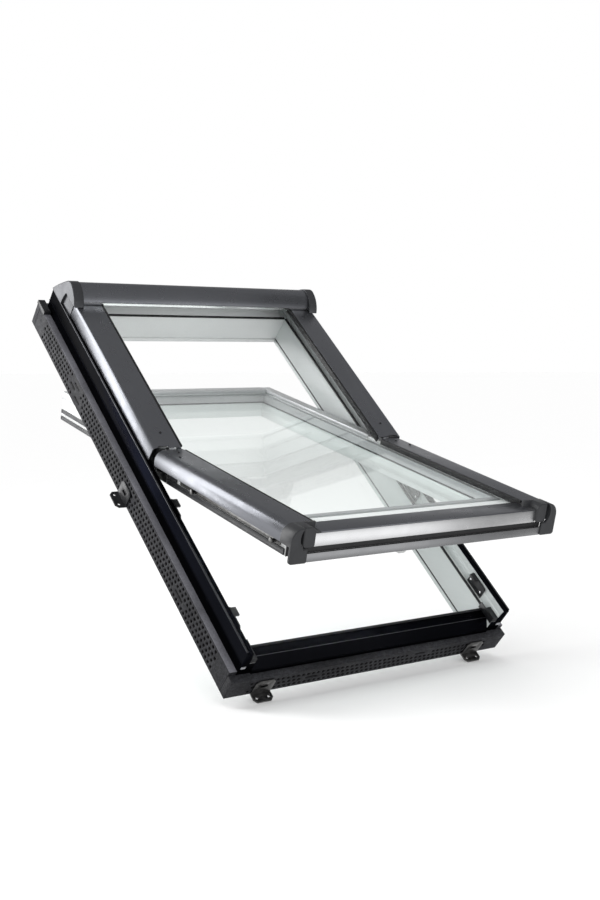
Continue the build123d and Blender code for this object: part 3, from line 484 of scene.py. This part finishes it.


# black expanded foam, paler or darker bead by bead, with painted shade darkest in its pits and a painted
# highlight on the top faces of the side pieces
foamValues = {
    "tone": (0.022, 0.0225, 0.0255), "gloss": 0.66, "bumpDepth": 0.0005, "bumpStrength": 0.5,
    "film": {"Cloud Scale": 9.0, "Cloud Share": 0.3},
    "shader": {"Specular IOR Level": 0.22},
    "beadScale": 300.0, "beadShare": 0.45,
}
# painted shade: a near-black tone for the faces sunk into the pits
foamPitShadeValues = {**foamValues, "tone": (0.002, 0.002, 0.0024), "beadShare": 0.1, "bumpStrength": 0.1}
# painted highlight: a pale copy of the foam for top faces, standing in for light from above
foamTopHighlightValues = {**foamValues, "tone": (0.15, 0.15, 0.168), "gloss": 0.5, "beadShare": 0.12,
                  "bumpStrength": 0.2}


def makeFoam(name, values):
    material, tree, shader, film, bump, coord = newFinish(name, values)
    beads = tree.nodes.new("ShaderNodeGroup")
    beads.node_tree = foamBeads
    beads.inputs["Bead Scale"].default_value = values["beadScale"]
    tree.links.new(coord.outputs["Object"], beads.inputs["Vector"])
    share = values["beadShare"]
    tone = mapRange(tree, beads.outputs["Mask"], 0, 1, 1 - share, 1 + share)
    tree.links.new(scaleColor(tree, film.outputs["Color"], tone), shader.inputs["Base Color"])
    tree.links.new(beads.outputs["Height"], bump.inputs["Height"])
    return material


# clear pane with a faint green cast
glassValues = {
    "tone": (0.978, 0.998, 0.991), "gloss": 0.012, "bumpDepth": 0.00001, "bumpStrength": 0.02,
    "film": {"Cloud Scale": 3.0, "Cloud Share": 0.006, "Skin Scale": 5.0},
    "shader": {"Transmission Weight": 1.0, "IOR": 1.15},
    "shade": (0.97, 0.99, 0.985),
}


def makeGlass(values):
    # light for other faces passes straight through the pane
    material, tree, shader, film, bump, coord = newFinish("paneGlass", values)
    output = shader.outputs["BSDF"].links[0].to_node
    clear = tree.nodes.new("ShaderNodeBsdfTransparent")
    clear.inputs["Color"].default_value = (*values["shade"], 1)
    path = tree.nodes.new("ShaderNodeLightPath")
    mix = tree.nodes.new("ShaderNodeMixShader")
    passing = mathNode(tree, "MAXIMUM", path.outputs["Is Shadow Ray"], path.outputs["Is Diffuse Ray"])
    tree.links.new(passing, mix.inputs["Fac"])
    tree.links.new(shader.outputs["BSDF"], mix.inputs[1])
    tree.links.new(clear.outputs["BSDF"], mix.inputs[2])
    tree.links.new(mix.outputs["Shader"], output.inputs["Surface"])
    return material


finishes = {name: makeFinish(name, values) for name, values in finishValues.items()}
finishes["foamBlack"] = makeFoam("foamBlack", foamValues)
finishes["foamTopHighlight"] = makeFoam("foamTopHighlight", foamTopHighlightValues)
finishes["foamPitShade"] = makeFoam("foamPitShade", foamPitShadeValues)
finishes["paneGlass"] = makeGlass(glassValues)
print("finishes ready:", len(finishes))


def activate(piece):
    bpy.ops.object.select_all(action="DESELECT")
    piece.select_set(True)
    bpy.context.view_layer.objects.active = piece


def applyModifiers(piece):
    activate(piece)
    for name in [modifier.name for modifier in piece.modifiers]:
        bpy.ops.object.modifier_apply(modifier=name)


def settle(piece, place):
    # leave the object at the origin, with its place in the mesh
    piece.matrix_world = place @ piece.matrix_world
    activate(piece)
    bpy.ops.object.transform_apply(location=True, rotation=True, scale=True)


def selectFaces(piece, rule):
    # choose faces by their centre and normal, then go into edit mode
    activate(piece)
    bpy.ops.object.mode_set(mode="EDIT")
    bpy.ops.mesh.select_mode(type="FACE")
    bpy.ops.mesh.select_all(action="DESELECT")
    bpy.ops.object.mode_set(mode="OBJECT")
    for polygon in piece.data.polygons:
        polygon.select = bool(rule(polygon.center, polygon.normal))
    bpy.ops.object.mode_set(mode="EDIT")


def dress(piece, finish, body, nodes=()):
    piece.data.materials.clear()
    piece.data.materials.append(finishes[finish])
    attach(piece, body)
    if nodes:
        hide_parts(*nodes)
    return piece


def camelName(node):
    first, *others = node.split("_")
    return first + "".join(word.capitalize() for word in others)


def spanOf(node, place):
    # lowest and highest u, v, n of a node in the roof plane or the sash plane
    inverse = place.inverted()
    points = [inverse @ vertex.co for vertex in frame["nodes"][node].data.vertices]
    return [(min(values), max(values)) for values in zip(*points)]


# profiles, sheets and mouldings: the solid's own form with its edges softened
softValues = {
    "mergeDistance": 0.00002, "flatAngle": 0.5, "edgeAngle": 28.0, "smoothAngle": 40.0, "segments": 2,
    "barAngle": 30.0, "facing": 0.9,
}
softPieces = (
    ("liningWhiteShaded", 0.0006, ("frame_left_jamb", "frame_right_jamb")),
    ("whiteProfile", 0.0006, (
        "frame_head", "frame_sill", "sash_left_stile", "sash_right_stile", "sash_top_rail",
        "sash_bottom_rail")),
    ("anthraciteCoat", 0.0005, (
        "hood", "upper_cover_left", "upper_cover_right", "sash_cover_left", "sash_cover_right",
        "sash_bottom_cover")),
    ("apronSatin", 0.0005, ("sash_apron",)),
    ("frameBlack", 0.0005, ("side_cladding_left", "side_cladding_right", "sill_cladding")),
    ("paleCladding", 0.0005, (
        "sash_cladding_left", "sash_cladding_right", "sash_cladding_top", "hood_seal_rail")),
    ("brightAluminium", 0.0005, ("sash_front_strip",)),
    ("sealRubber", 0.0004, (
        "frame_seal", "upper_cover_seal_left", "upper_cover_seal_right", "sash_cover_seal_left",
        "sash_cover_seal_right", "glazing_tape")),
    ("capPlastic", 0.0006, ("sash_end_cap_left", "sash_end_cap_right")),
    ("hoodCapSatin", 0.0006, ("hood_cap_left", "hood_cap_right")),
    ("railPlastic", 0.0005, (
        "sash_side_rail_left", "sash_side_rail_right", "cover_carrier_left", "cover_carrier_right")),
    ("dullSteel", 0.0004, (
        "lock_bar_left", "lock_bar_right", "bracket_sill_left", "bracket_sill_right",
        "bracket_head_left", "bracket_head_right")),
    ("blackSteel", 0.0004, (
        "bracket_left", "bracket_right", "frame_hinge_left", "frame_hinge_right", "sash_hinge_left",
        "sash_hinge_right", "lock_keeps_left", "lock_keeps_right")),
    ("handleWhite", 0.0012, ("handle_lever", "handle_rosette")),
)


def softenEdges(piece, width, angle):
    rounding = piece.modifiers.new("softEdge", "BEVEL")
    rounding.limit_method = "ANGLE"
    rounding.angle_limit = math.radians(angle)
    rounding.width = width
    rounding.segments = softValues["segments"]
    applyModifiers(piece)


def smoothFaces(angle):
    bpy.ops.object.shade_smooth_by_angle(angle=math.radians(angle))


def softCopy(node, edge):
    source = frame["nodes"][node]
    piece = bpy.data.objects.new(camelName(node), source.data.copy())
    scene.collection.objects.link(piece)
    activate(piece)
    bpy.ops.mesh.customdata_custom_splitnormals_clear()
    bpy.ops.object.mode_set(mode="EDIT")
    bpy.ops.mesh.select_all(action="SELECT")
    bpy.ops.mesh.remove_doubles(threshold=softValues["mergeDistance"])
    bpy.ops.mesh.dissolve_limited(angle_limit=math.radians(softValues["flatAngle"]))
    bpy.ops.object.mode_set(mode="OBJECT")
    softenEdges(piece, edge, softValues["edgeAngle"])
    smoothFaces(softValues["smoothAngle"])
    return piece


for finish, edge, nodes in softPieces:
    for node in nodes:
        body = frame["nodes"][node]["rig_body"]
        dress(softCopy(node, edge), finish, body, (node,))
print("softened pieces ready")

# panes and spacer keep the solid's own faces
for finish, nodes in (("paneGlass", ("outer_pane", "inner_pane")), ("spacerDull", ("glass_spacer",))):
    for node in nodes:
        frame["nodes"][node].data.materials.clear()
        frame["nodes"][node].data.materials.append(finishes[finish])


# insulation collar: dimpled foam faces with plain margins; painted shade darkens the sunk pit faces, and a
# painted highlight pales the top faces of the side pieces
insulationValues = {
    "cell": 0.0066, "pitInset": 0.0003, "pitDepth": 0.004, "floorInset": 0.0008, "floorDepth": 0.001,
    "pitEvery": 2, "rowEvery": 2, "cornerRun": 0.05, "edge": 0.0012, "edgeAngle": 60.0,
    "slitDepth": 0.003, "slitInset": 0.001, "slitMargin": 2, "plainRows": 2, "smoothAngle": 50.0,
    "topFacing": 0.6, "paintedShadeDepths": (0.0012, 0.0075),
}
# slits: first cell along, cells long, row
slitPlaces = {
    "side": ((38, 5, 4), (41, 5, 6), (44, 5, 2), (94, 6, 5), (140, 6, 3)),
    "end": ((30, 5, 3), (76, 5, 5)),
}


def insulationPiece(node, origin, along, outward, length, depth, thickness, slits, topFinish):
    values = insulationValues
    cells = round(length / values["cell"]), round(depth / values["cell"])
    bpy.ops.object.select_all(action="DESELECT")
    bpy.ops.mesh.primitive_grid_add(x_subdivisions=cells[0], y_subdivisions=cells[1], size=2)
    piece = bpy.context.object
    piece.name = piece.data.name = camelName(node)
    piece.scale = (length / 2, depth / 2, 1)
    piece.location = (length / 2, depth / 2, 0)
    bpy.ops.object.transform_apply(location=True, rotation=True, scale=True)

    def cellOf(centre):
        return int(centre.x / length * cells[0]), int(centre.y / depth * cells[1])

    def inSlit(centre):
        column, row = cellOf(centre)
        return any(start <= column < start + run and row == level for start, run, level in slits)

    def isPit(centre, normal):
        column, row = cellOf(centre)
        margin = values["slitMargin"]
        if not values["cornerRun"] < centre.x < length - values["cornerRun"]:
            return False
        if row % values["rowEvery"] == 0 or row > cells[1] - values["plainRows"]:
            return False
        near = any(start - margin <= column < start + run + margin and abs(row - level) < margin
                   for start, run, level in slits)
        return not near and (column - row // values["rowEvery"]) % values["pitEvery"] == 0

    selectFaces(piece, isPit)
    bpy.ops.mesh.inset(thickness=values["pitInset"], depth=-values["pitDepth"], use_individual=True)
    bpy.ops.mesh.inset(thickness=values["floorInset"], depth=-values["floorDepth"], use_individual=True)
    bpy.ops.object.mode_set(mode="OBJECT")
    if slits:
        selectFaces(piece, lambda centre, normal: inSlit(centre))
        bpy.ops.mesh.inset(thickness=values["slitInset"], depth=-values["slitDepth"])
        bpy.ops.object.mode_set(mode="OBJECT")
    rounder = piece.modifiers.new("roundPits", "SUBSURF")
    rounder.levels = rounder.render_levels = 1
    rounder.boundary_smooth = "PRESERVE_CORNERS"
    applyModifiers(piece)
    bpy.ops.object.mode_set(mode="EDIT")
    bpy.ops.mesh.select_mode(type="EDGE")
    bpy.ops.mesh.select_all(action="DESELECT")
    bpy.ops.mesh.select_non_manifold()
    bpy.ops.mesh.extrude_region_move(TRANSFORM_OT_translate={"value": (0, 0, -thickness)})
    bpy.ops.mesh.edge_face_add()
    bpy.ops.mesh.select_all(action="SELECT")
    bpy.ops.mesh.normals_make_consistent(inside=False)
    bpy.ops.object.mode_set(mode="OBJECT")
    softenEdges(piece, values["edge"], values["edgeAngle"])
    settle(piece, placeOf(origin, along, roofNormal, outward))
    smoothFaces(values["smoothAngle"])
    dress(piece, "foamBlack", frame["nodes"][node]["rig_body"], (node,))
    piece.data.materials.append(finishes[topFinish])
    piece.data.materials.append(finishes["foamPitShade"])
    for polygon in piece.data.polygons:
        sunk = (origin - polygon.center).dot(outward)
        # painted shade: faces sunk to these depths take the near-black pit finish
        if values["paintedShadeDepths"][0] < sunk < values["paintedShadeDepths"][1]:
            polygon.material_index = 2
        # painted highlight: faces turned up take the top finish (pale on the side pieces)
        elif polygon.normal.dot(roofNormal) > values["topFacing"]:
            polygon.material_index = 1
    return piece


for side, hand in hands:
    node = f"insulation_{hand}"
    (uLow, uHigh), (vLow, vHigh), (nLow, nHigh) = spanOf(node, roofPlace)
    edgeU = uLow if side < 0 else uHigh
    start = vHigh if side < 0 else vLow
    origin = uAxis * edgeU + roofUp * start + roofNormal * nLow
    insulationPiece(node, origin, roofUp * side, uAxis * side, vHigh - vLow, nHigh - nLow,
                    uHigh - uLow, slitPlaces["side"], "foamTopHighlight")
for side, node in ((-1, "insulation_sill"), (1, "insulation_head")):
    (uLow, uHigh), (vLow, vHigh), (nLow, nHigh) = spanOf(node, roofPlace)
    edgeV = vLow if side < 0 else vHigh
    start = uLow if side < 0 else uHigh
    origin = uAxis * start + roofUp * edgeV + roofNormal * nLow
    insulationPiece(node, origin, uAxis * -side, roofUp * side, uHigh - uLow, nHigh - nLow,
                    vHigh - vLow, slitPlaces["end"], "foamBlack")
print("insulation ready")


# strips: a bar between two corners, with a sunk groove on one face where it has one
def stripPiece(name, place, corners, finish, body, edge, groove=None):
    low, high = (Vector(corner) for corner in zip(*(sorted(pair) for pair in corners)))
    bpy.ops.object.select_all(action="DESELECT")
    bpy.ops.mesh.primitive_cube_add(size=1, location=(low + high) / 2)
    piece = bpy.context.object
    piece.name = piece.data.name = name
    piece.scale = high - low
    bpy.ops.object.transform_apply(location=True, rotation=True, scale=True)
    if groove:
        facing = Vector(groove["facing"])
        selectFaces(piece, lambda centre, normal: normal.dot(facing) > softValues["facing"])
        bpy.ops.mesh.inset(thickness=groove["rim"], depth=0)
        bpy.ops.mesh.inset(thickness=groove["slope"], depth=-groove["depth"])
        bpy.ops.object.mode_set(mode="OBJECT")
    softenEdges(piece, edge, softValues["barAngle"])
    settle(piece, place)
    smoothFaces(softValues["smoothAngle"])
    return dress(piece, finish, body)


def grooveOf(values, facing):
    return {"facing": facing, **{key: values[key] for key in ("rim", "slope", "depth")}}


# dark guide strips along the outer sides of the stiles, parted at the hinge
guideValues = {
    "thickness": 0.0034, "rim": 0.0024, "slope": 0.0008, "depth": 0.0014, "edge": 0.0005, "gap": 0.006,
    "endGap": 0.003, "lowerLevels": ((0.002, 0.0155), (0.0325, 0.0455)), "barGap": 0.018,
    "upperLevels": ((0.001, 0.011), (0.019, 0.029)), "barLevels": ((0.0165, 0.0315),),
}


def addGuides(side, hand, values):
    (uLow, uHigh), (sLow, sHigh), (nLow, nHigh) = spanOf(f"sash_{hand}_stile", sashPlace)
    hinge = spanOf(f"sash_hinge_{hand}", sashPlace)[1]
    outer = uHigh if side > 0 else uLow
    groove = grooveOf(values, (side, 0, 0))
    barEnd = spanOf(f"lock_bar_{hand}", sashPlace)[1][1]
    runs = (
        ("Lower", (sLow + values["endGap"], hinge[0] - values["gap"]), values["lowerLevels"]),
        ("Middle", (barEnd + values["barGap"], hinge[0] - values["gap"]), values["barLevels"]),
        ("Upper", (hinge[1] + values["gap"], sHigh - values["endGap"]), values["upperLevels"]),
    )
    for half, run, levels in runs:
        for count, (low, high) in enumerate(levels, 1):
            corners = (outer, outer + side * values["thickness"]), run, (nLow + low, nLow + high)
            stripPiece(f"guide{half}{hand.capitalize()}{count}", sashPlace, corners, "guidePlastic", "sash",
                       values["edge"], groove)


# a light grey strip along the top rib of each cladding as a painted highlight, and black gaskets in the
# grooves of the linings
wallHighlightValues = {
    "ribOut": 0.0012, "topWidth": 0.0034, "topHeight": 0.0016, "stand": 0.0003, "endGap": 0.003,
    "edge": 0.00012,
}
gasketValues = {"low": 0.0092, "high": 0.0138, "sink": 0.0006, "depth": 0.006, "edge": 0.0006}


def addWallHighlights(side, hand, values):
    span, run, levels = spanOf(f"side_cladding_{hand}", roofPlace)
    run = run[0] + values["endGap"], run[1] - values["endGap"]
    rib = span[1] if side > 0 else span[0]
    wall = rib - side * values["ribOut"]
    top = levels[1]
    corners = ((wall - side * values["topWidth"], wall + side * values["stand"]), run,
               (top - values["topHeight"], top + values["stand"]))
    stripPiece(f"topHighlight{hand.capitalize()}", roofPlace, corners, "highlightGrey", "frame",
               values["edge"])


def addGasket(side, hand, values):
    span, run, levels = spanOf(f"frame_{hand}_jamb", roofPlace)
    lining = span[0] if side > 0 else span[1]
    inner = lining + side * values["sink"]
    run = spanOf("frame_sill", roofPlace)[1][1], spanOf("frame_head", roofPlace)[1][0]
    corners = (inner, inner + side * values["depth"]), run, (values["low"], values["high"])
    stripPiece(f"liningGasket{hand.capitalize()}", roofPlace, corners, "sealRubber", "frame",
               values["edge"])


# rubber lips along the covers' inner edges, and the bright clip at the upper covers' lower ends
lipValues = {"width": 0.006, "lap": 0.0006, "drop": 0.0008, "depth": 0.005, "endGap": 0.004, "edge": 0.0006}
clipValues = {"thickness": 0.0011, "inset": 0.026, "width": 0.030, "topDrop": 0.003, "height": 0.0075,
              "edge": 0.0004}


def addCoverLip(side, hand, cover, place, body, values):
    span, run, levels = spanOf(f"{cover}_cover_{hand}", place)
    inner = span[0] if side > 0 else span[1]
    across = inner - side * values["width"], inner + side * values["lap"]
    height = levels[1] - values["drop"] - values["depth"], levels[1] - values["drop"]
    corners = across, (run[0] + values["endGap"], run[1] - values["endGap"]), height
    stripPiece(f"{cover}CoverLip{hand.capitalize()}", place, corners, "sealRubber", body,
               values["edge"])


def addClip(side, hand, values):
    span, run, levels = spanOf(f"upper_cover_{hand}", roofPlace)
    outer = (span[1] if side > 0 else span[0]) - side * values["inset"]
    top = levels[1] - values["topDrop"]
    corners = ((outer - side * values["width"], outer), (run[0] - values["thickness"], run[0]),
               (top - values["height"], top))
    stripPiece(f"coverClip{hand.capitalize()}", roofPlace, corners, "trimSilver", "frame",
               values["edge"])


# bright lip under the hood's front edge, between its end caps
hoodLipValues = {"thickness": 0.0014, "rise": 0.0007, "height": 0.007, "endGap": 0.0005, "edge": 0.0004}


def addHoodLip(values):
    half = spanOf("hood_cap_right", roofPlace)[0][0] - values["endGap"]
    front = spanOf("hood", roofPlace)[1][0]
    low = spanOf("upper_cover_right", roofPlace)[2][1] + values["rise"]
    corners = (-half, half), (front - values["thickness"], front), (low, low + values["height"])
    stripPiece("hoodLip", roofPlace, corners, "brightAluminium", "frame",
               values["edge"])


# dark end pieces of the stiles and jambs, and on each jamb's end a small bright silver bar as a painted
# highlight of a glossy corner
endValues = {
    "plate": 0.0012, "edge": 0.0006, "thinEdge": 0.0003, "footRun": 0.034, "footRise": 0.013,
    "footWidth": 0.0168, "ledge": 0.084, "plateRun": 0.052, "plateFoot": 0.0788,
    "highlightThickness": 0.0011, "highlightAcross": (0.3575, 0.3695), "highlightLevels": (0.071, 0.078),
    "rim": 0.0012, "slope": 0.0006, "depth": 0.0006,
}
headCornerValues = {"lap": 0.0012, "innerGap": 0.0024, "run": 0.048, "sink": 0.0008, "rise": 0.009,
                    "edge": 0.0015, "rim": 0.003, "slope": 0.001, "depth": 0.0012}


def addEnds(side, hand, values):
    label = hand.capitalize()
    span, run, levels = spanOf(f"sash_{hand}_stile", sashPlace)
    glassLevel = spanOf("glazing_tape", sashPlace)[2][0]
    end = span, (run[0] - values["plate"], run[0]), (levels[0], glassLevel)
    stripPiece(f"stileEnd{label}", sashPlace, end, "railPlastic", "sash", values["edge"],
               grooveOf(values, (0, -1, 0)))
    span, run, levels = spanOf(f"frame_{hand}_jamb", roofPlace)
    lining = span[0] if side > 0 else span[1]
    foot = ((lining, lining + side * values["footWidth"]), (run[0], run[0] + values["footRun"]),
            (values["ledge"], values["ledge"] + values["footRise"]))
    stripPiece(f"jambFoot{label}", roofPlace, foot, "railPlastic", "frame", values["edge"],
               grooveOf(values, (0, 0, 1)))
    plate = ((lining - side * values["plate"], lining), (run[0], run[0] + values["plateRun"]),
             (values["plateFoot"], foot[2][1]))
    stripPiece(f"jambPlate{label}", roofPlace, plate, "railPlastic", "frame",
               values["thinEdge"])
    front = spanOf(f"side_cladding_{hand}", roofPlace)[1][0]
    # painted highlight: a small bright bar standing in for light caught on the glossy black corner
    highlightBar = (tuple(side * u for u in values["highlightAcross"]), (front - values["highlightThickness"], front),
           values["highlightLevels"])
    stripPiece(f"cornerHighlight{label}", roofPlace, highlightBar, "trimSilver", "frame",
               values["thinEdge"], grooveOf(values, (0, -1, 0)))


def addHeadCorner(side, hand, values):
    # black moulded corner on top of the insulation at the head
    span, run, levels = spanOf(f"insulation_{hand}", roofPlace)
    top = spanOf("insulation_head", roofPlace)[1][1]
    inner, outer = (span[0], span[1]) if side > 0 else (span[1], span[0])
    corners = ((inner + side * values["innerGap"], outer + side * values["lap"]),
               (top - values["run"], top + values["lap"]),
               (levels[1] - values["sink"], levels[1] + values["rise"]))
    stripPiece(f"headCorner{hand.capitalize()}", roofPlace, corners, "railPlastic", "frame",
               values["edge"], grooveOf(values, (0, 0, 1)))


# a black strip as painted shade in the recess between the front strip and the apron, and a light grey strip
# as a painted highlight along the sill's ridge
recessShadeValues = {"thickness": 0.0008, "clearance": 0.0004, "drop": 0.008, "edge": 0.0002}
sillHighlightValues = {"run": (0.0168, 0.0190), "height": 0.0009, "stand": 0.0003, "endGap": 0.002,
                  "edge": 0.0002}


def addRecessShade(values):
    half = spanOf("sash_apron", sashPlace)[0][1]
    run, levels = spanOf("sash_front_strip", sashPlace)[1:]
    middle = sum(run) / 2 - values["clearance"]
    low = spanOf("glazing_tape", sashPlace)[2][0] - values["drop"]
    corners = ((-half, half), (middle - values["thickness"], middle),
               (low + values["clearance"], levels[0] - values["clearance"]))
    # painted shade: a black sheet where the recess lies only in shade
    stripPiece("frontRecessShade", sashPlace, corners, "sealRubber", "sash", values["edge"])


def addSillHighlight(values):
    span, run, levels = spanOf("sill_cladding", roofPlace)
    corners = ((span[0] + values["endGap"], span[1] - values["endGap"]), values["run"],
               (levels[1] - values["height"], levels[1] + values["stand"]))
    # painted highlight: a light grey strip along the sill cladding's ridge
    stripPiece("sillLine", roofPlace, corners, "highlightGrey", "frame", values["edge"])


for side, hand in hands:
    addGuides(side, hand, guideValues)
    addWallHighlights(side, hand, wallHighlightValues)
    addGasket(side, hand, gasketValues)
    addCoverLip(side, hand, "upper", roofPlace, "frame", lipValues)
    addCoverLip(side, hand, "sash", sashPlace, "sash", lipValues)
    addClip(side, hand, clipValues)
    addEnds(side, hand, endValues)
    addHeadCorner(side, hand, headCornerValues)
addHoodLip(hoodLipValues)
addRecessShade(recessShadeValues)
addSillHighlight(sillHighlightValues)
print("strips ready")


# screws: a round head with a sunk socket, modelled once and copied
screwValues = {
    "radius": 0.0029, "height": 0.0013, "socket": 0.0013, "slope": 0.0002, "sink": 0.0008, "sides": 24,
    "edgeShare": 0.3,
}


def makeScrewHead(values):
    bpy.ops.object.select_all(action="DESELECT")
    bpy.ops.mesh.primitive_cylinder_add(vertices=values["sides"], radius=values["radius"],
                                        depth=values["height"], location=(0, 0, values["height"] / 2))
    head = bpy.context.object
    bpy.ops.object.transform_apply(location=True, rotation=True, scale=True)
    selectFaces(head, lambda centre, normal: normal.z > softValues["facing"])
    bpy.ops.mesh.inset(thickness=values["radius"] - values["socket"], depth=0)
    bpy.ops.mesh.inset(thickness=values["slope"], depth=-values["sink"])
    bpy.ops.object.mode_set(mode="OBJECT")
    softenEdges(head, values["height"] * values["edgeShare"], softValues["barAngle"])
    smoothFaces(softValues["smoothAngle"])
    return head


screwHead = makeScrewHead(screwValues)


def addScrew(name, plane, point, facing, finish, body):
    # facing is a direction in the plane's own u, v, n
    outward = plane.to_3x3() @ Vector(facing)
    along = outward.orthogonal().normalized()
    screw = bpy.data.objects.new(name, screwHead.data.copy())
    screw.data.transform(placeOf(plane @ Vector(point), along, outward.cross(along), outward))
    scene.collection.objects.link(screw)
    return dress(screw, finish, body)


# where screws sit, in the roof plane or the sash plane: offsets from the piece that they hold
screwPlaces = {
    "upperCover": (0.327, 0.0485), "sashCover": ((0.320, 0.0245), (0.337, 0.0605)),
    "keep": (0.008, 0.050), "keepRise": 0.012, "keepPitch": 0.315, "keepInset": 0.003, "keepPairs": 2,
    "hingeSash": ((0.023, 0.016), (0.043, 0.016), (0.043, 0.036)),
    "hingeStand": 0.004, "hingeFrame": ((0.018, 0.020), (0.040, 0.020)),
}


def addScrews(side, hand, values):
    label = hand.capitalize()
    run, levels = spanOf(f"upper_cover_{hand}", roofPlace)[1:]
    across, up = values["upperCover"]
    addScrew(f"upperCoverScrew{label}", roofPlace, (side * across, run[0] + up, levels[1]), (0, 0, 1),
             "blackSteel", "frame")
    run, levels = spanOf(f"sash_cover_{hand}", sashPlace)[1:]
    for count, (across, down) in enumerate(values["sashCover"], 1):
        addScrew(f"sashCoverScrew{label}{count}", sashPlace, (side * across, run[1] - down, levels[1]),
                 (0, 0, 1), "blackSteel", "sash")
    span, run, levels = spanOf(f"lock_keeps_{hand}", roofPlace)
    wall = (span[1] if side > 0 else span[0]) - side * values["keepInset"]
    for pair in range(values["keepPairs"]):
        for count, up in enumerate(values["keep"], 1):
            point = wall, run[0] + pair * values["keepPitch"] + up, levels[0] + values["keepRise"]
            addScrew(f"keepScrew{label}{pair + 1}{count}", roofPlace, point, (-side, 0, 0), "zincSteel",
                     "frame")
    span = spanOf(f"sash_{hand}_stile", sashPlace)[0]
    plate = (span[1] if side > 0 else span[0]) + side * values["hingeStand"]
    run, levels = spanOf(f"sash_hinge_{hand}", sashPlace)[1:]
    for count, (up, rise) in enumerate(values["hingeSash"], 1):
        addScrew(f"sashHingeScrew{label}{count}", sashPlace, (plate, run[0] + up, levels[0] + rise),
                 (side, 0, 0), "zincSteel", "sash")
    span, run, levels = spanOf(f"frame_hinge_{hand}", roofPlace)
    plate = span[0] if side > 0 else span[1]
    for count, (up, rise) in enumerate(values["hingeFrame"], 1):
        addScrew(f"frameHingeScrew{label}{count}", roofPlace, (plate, run[0] + up, levels[0] + rise),
                 (-side, 0, 0), "zincSteel", "frame")


for side, hand in hands:
    addScrews(side, hand, screwPlaces)
bpy.data.objects.remove(screwHead)
print("screws ready")


# pale floor under the object
floorValues = {
    "radius": 60.0, "sides": 96, "tone": (0.985, 0.985, 0.985), "gloss": 0.8,
    "film": {"Cloud Share": 0.003}, "shader": {"Specular IOR Level": 0.0}, "bounce": (0.5, 0.5, 0.5),
}


def addFloor(values):
    bpy.ops.object.select_all(action="DESELECT")
    bpy.ops.mesh.primitive_circle_add(vertices=values["sides"], radius=values["radius"],
                                      fill_type="NGON", location=(0, 0, cadBox[0].z))
    floor = bpy.context.object
    floor.name = "paleFloor"
    material, tree, shader, film, bump, coord = newFinish("paleFloor", values)
    path = tree.nodes.new("ShaderNodeLightPath")
    tone = mixColor(tree, path.outputs["Is Diffuse Ray"], film.outputs["Color"], values["bounce"])
    tree.links.new(tone, shader.inputs["Base Color"])
    floor.data.materials.append(material)
    floor.visible_glossy = False


addCamera(cameraValues)
addStudio(studioValues)
for values in panelValues:
    addPanel(values)
addFloor(floorValues)
scene.view_settings.view_transform = "Standard"
print("studio ready")
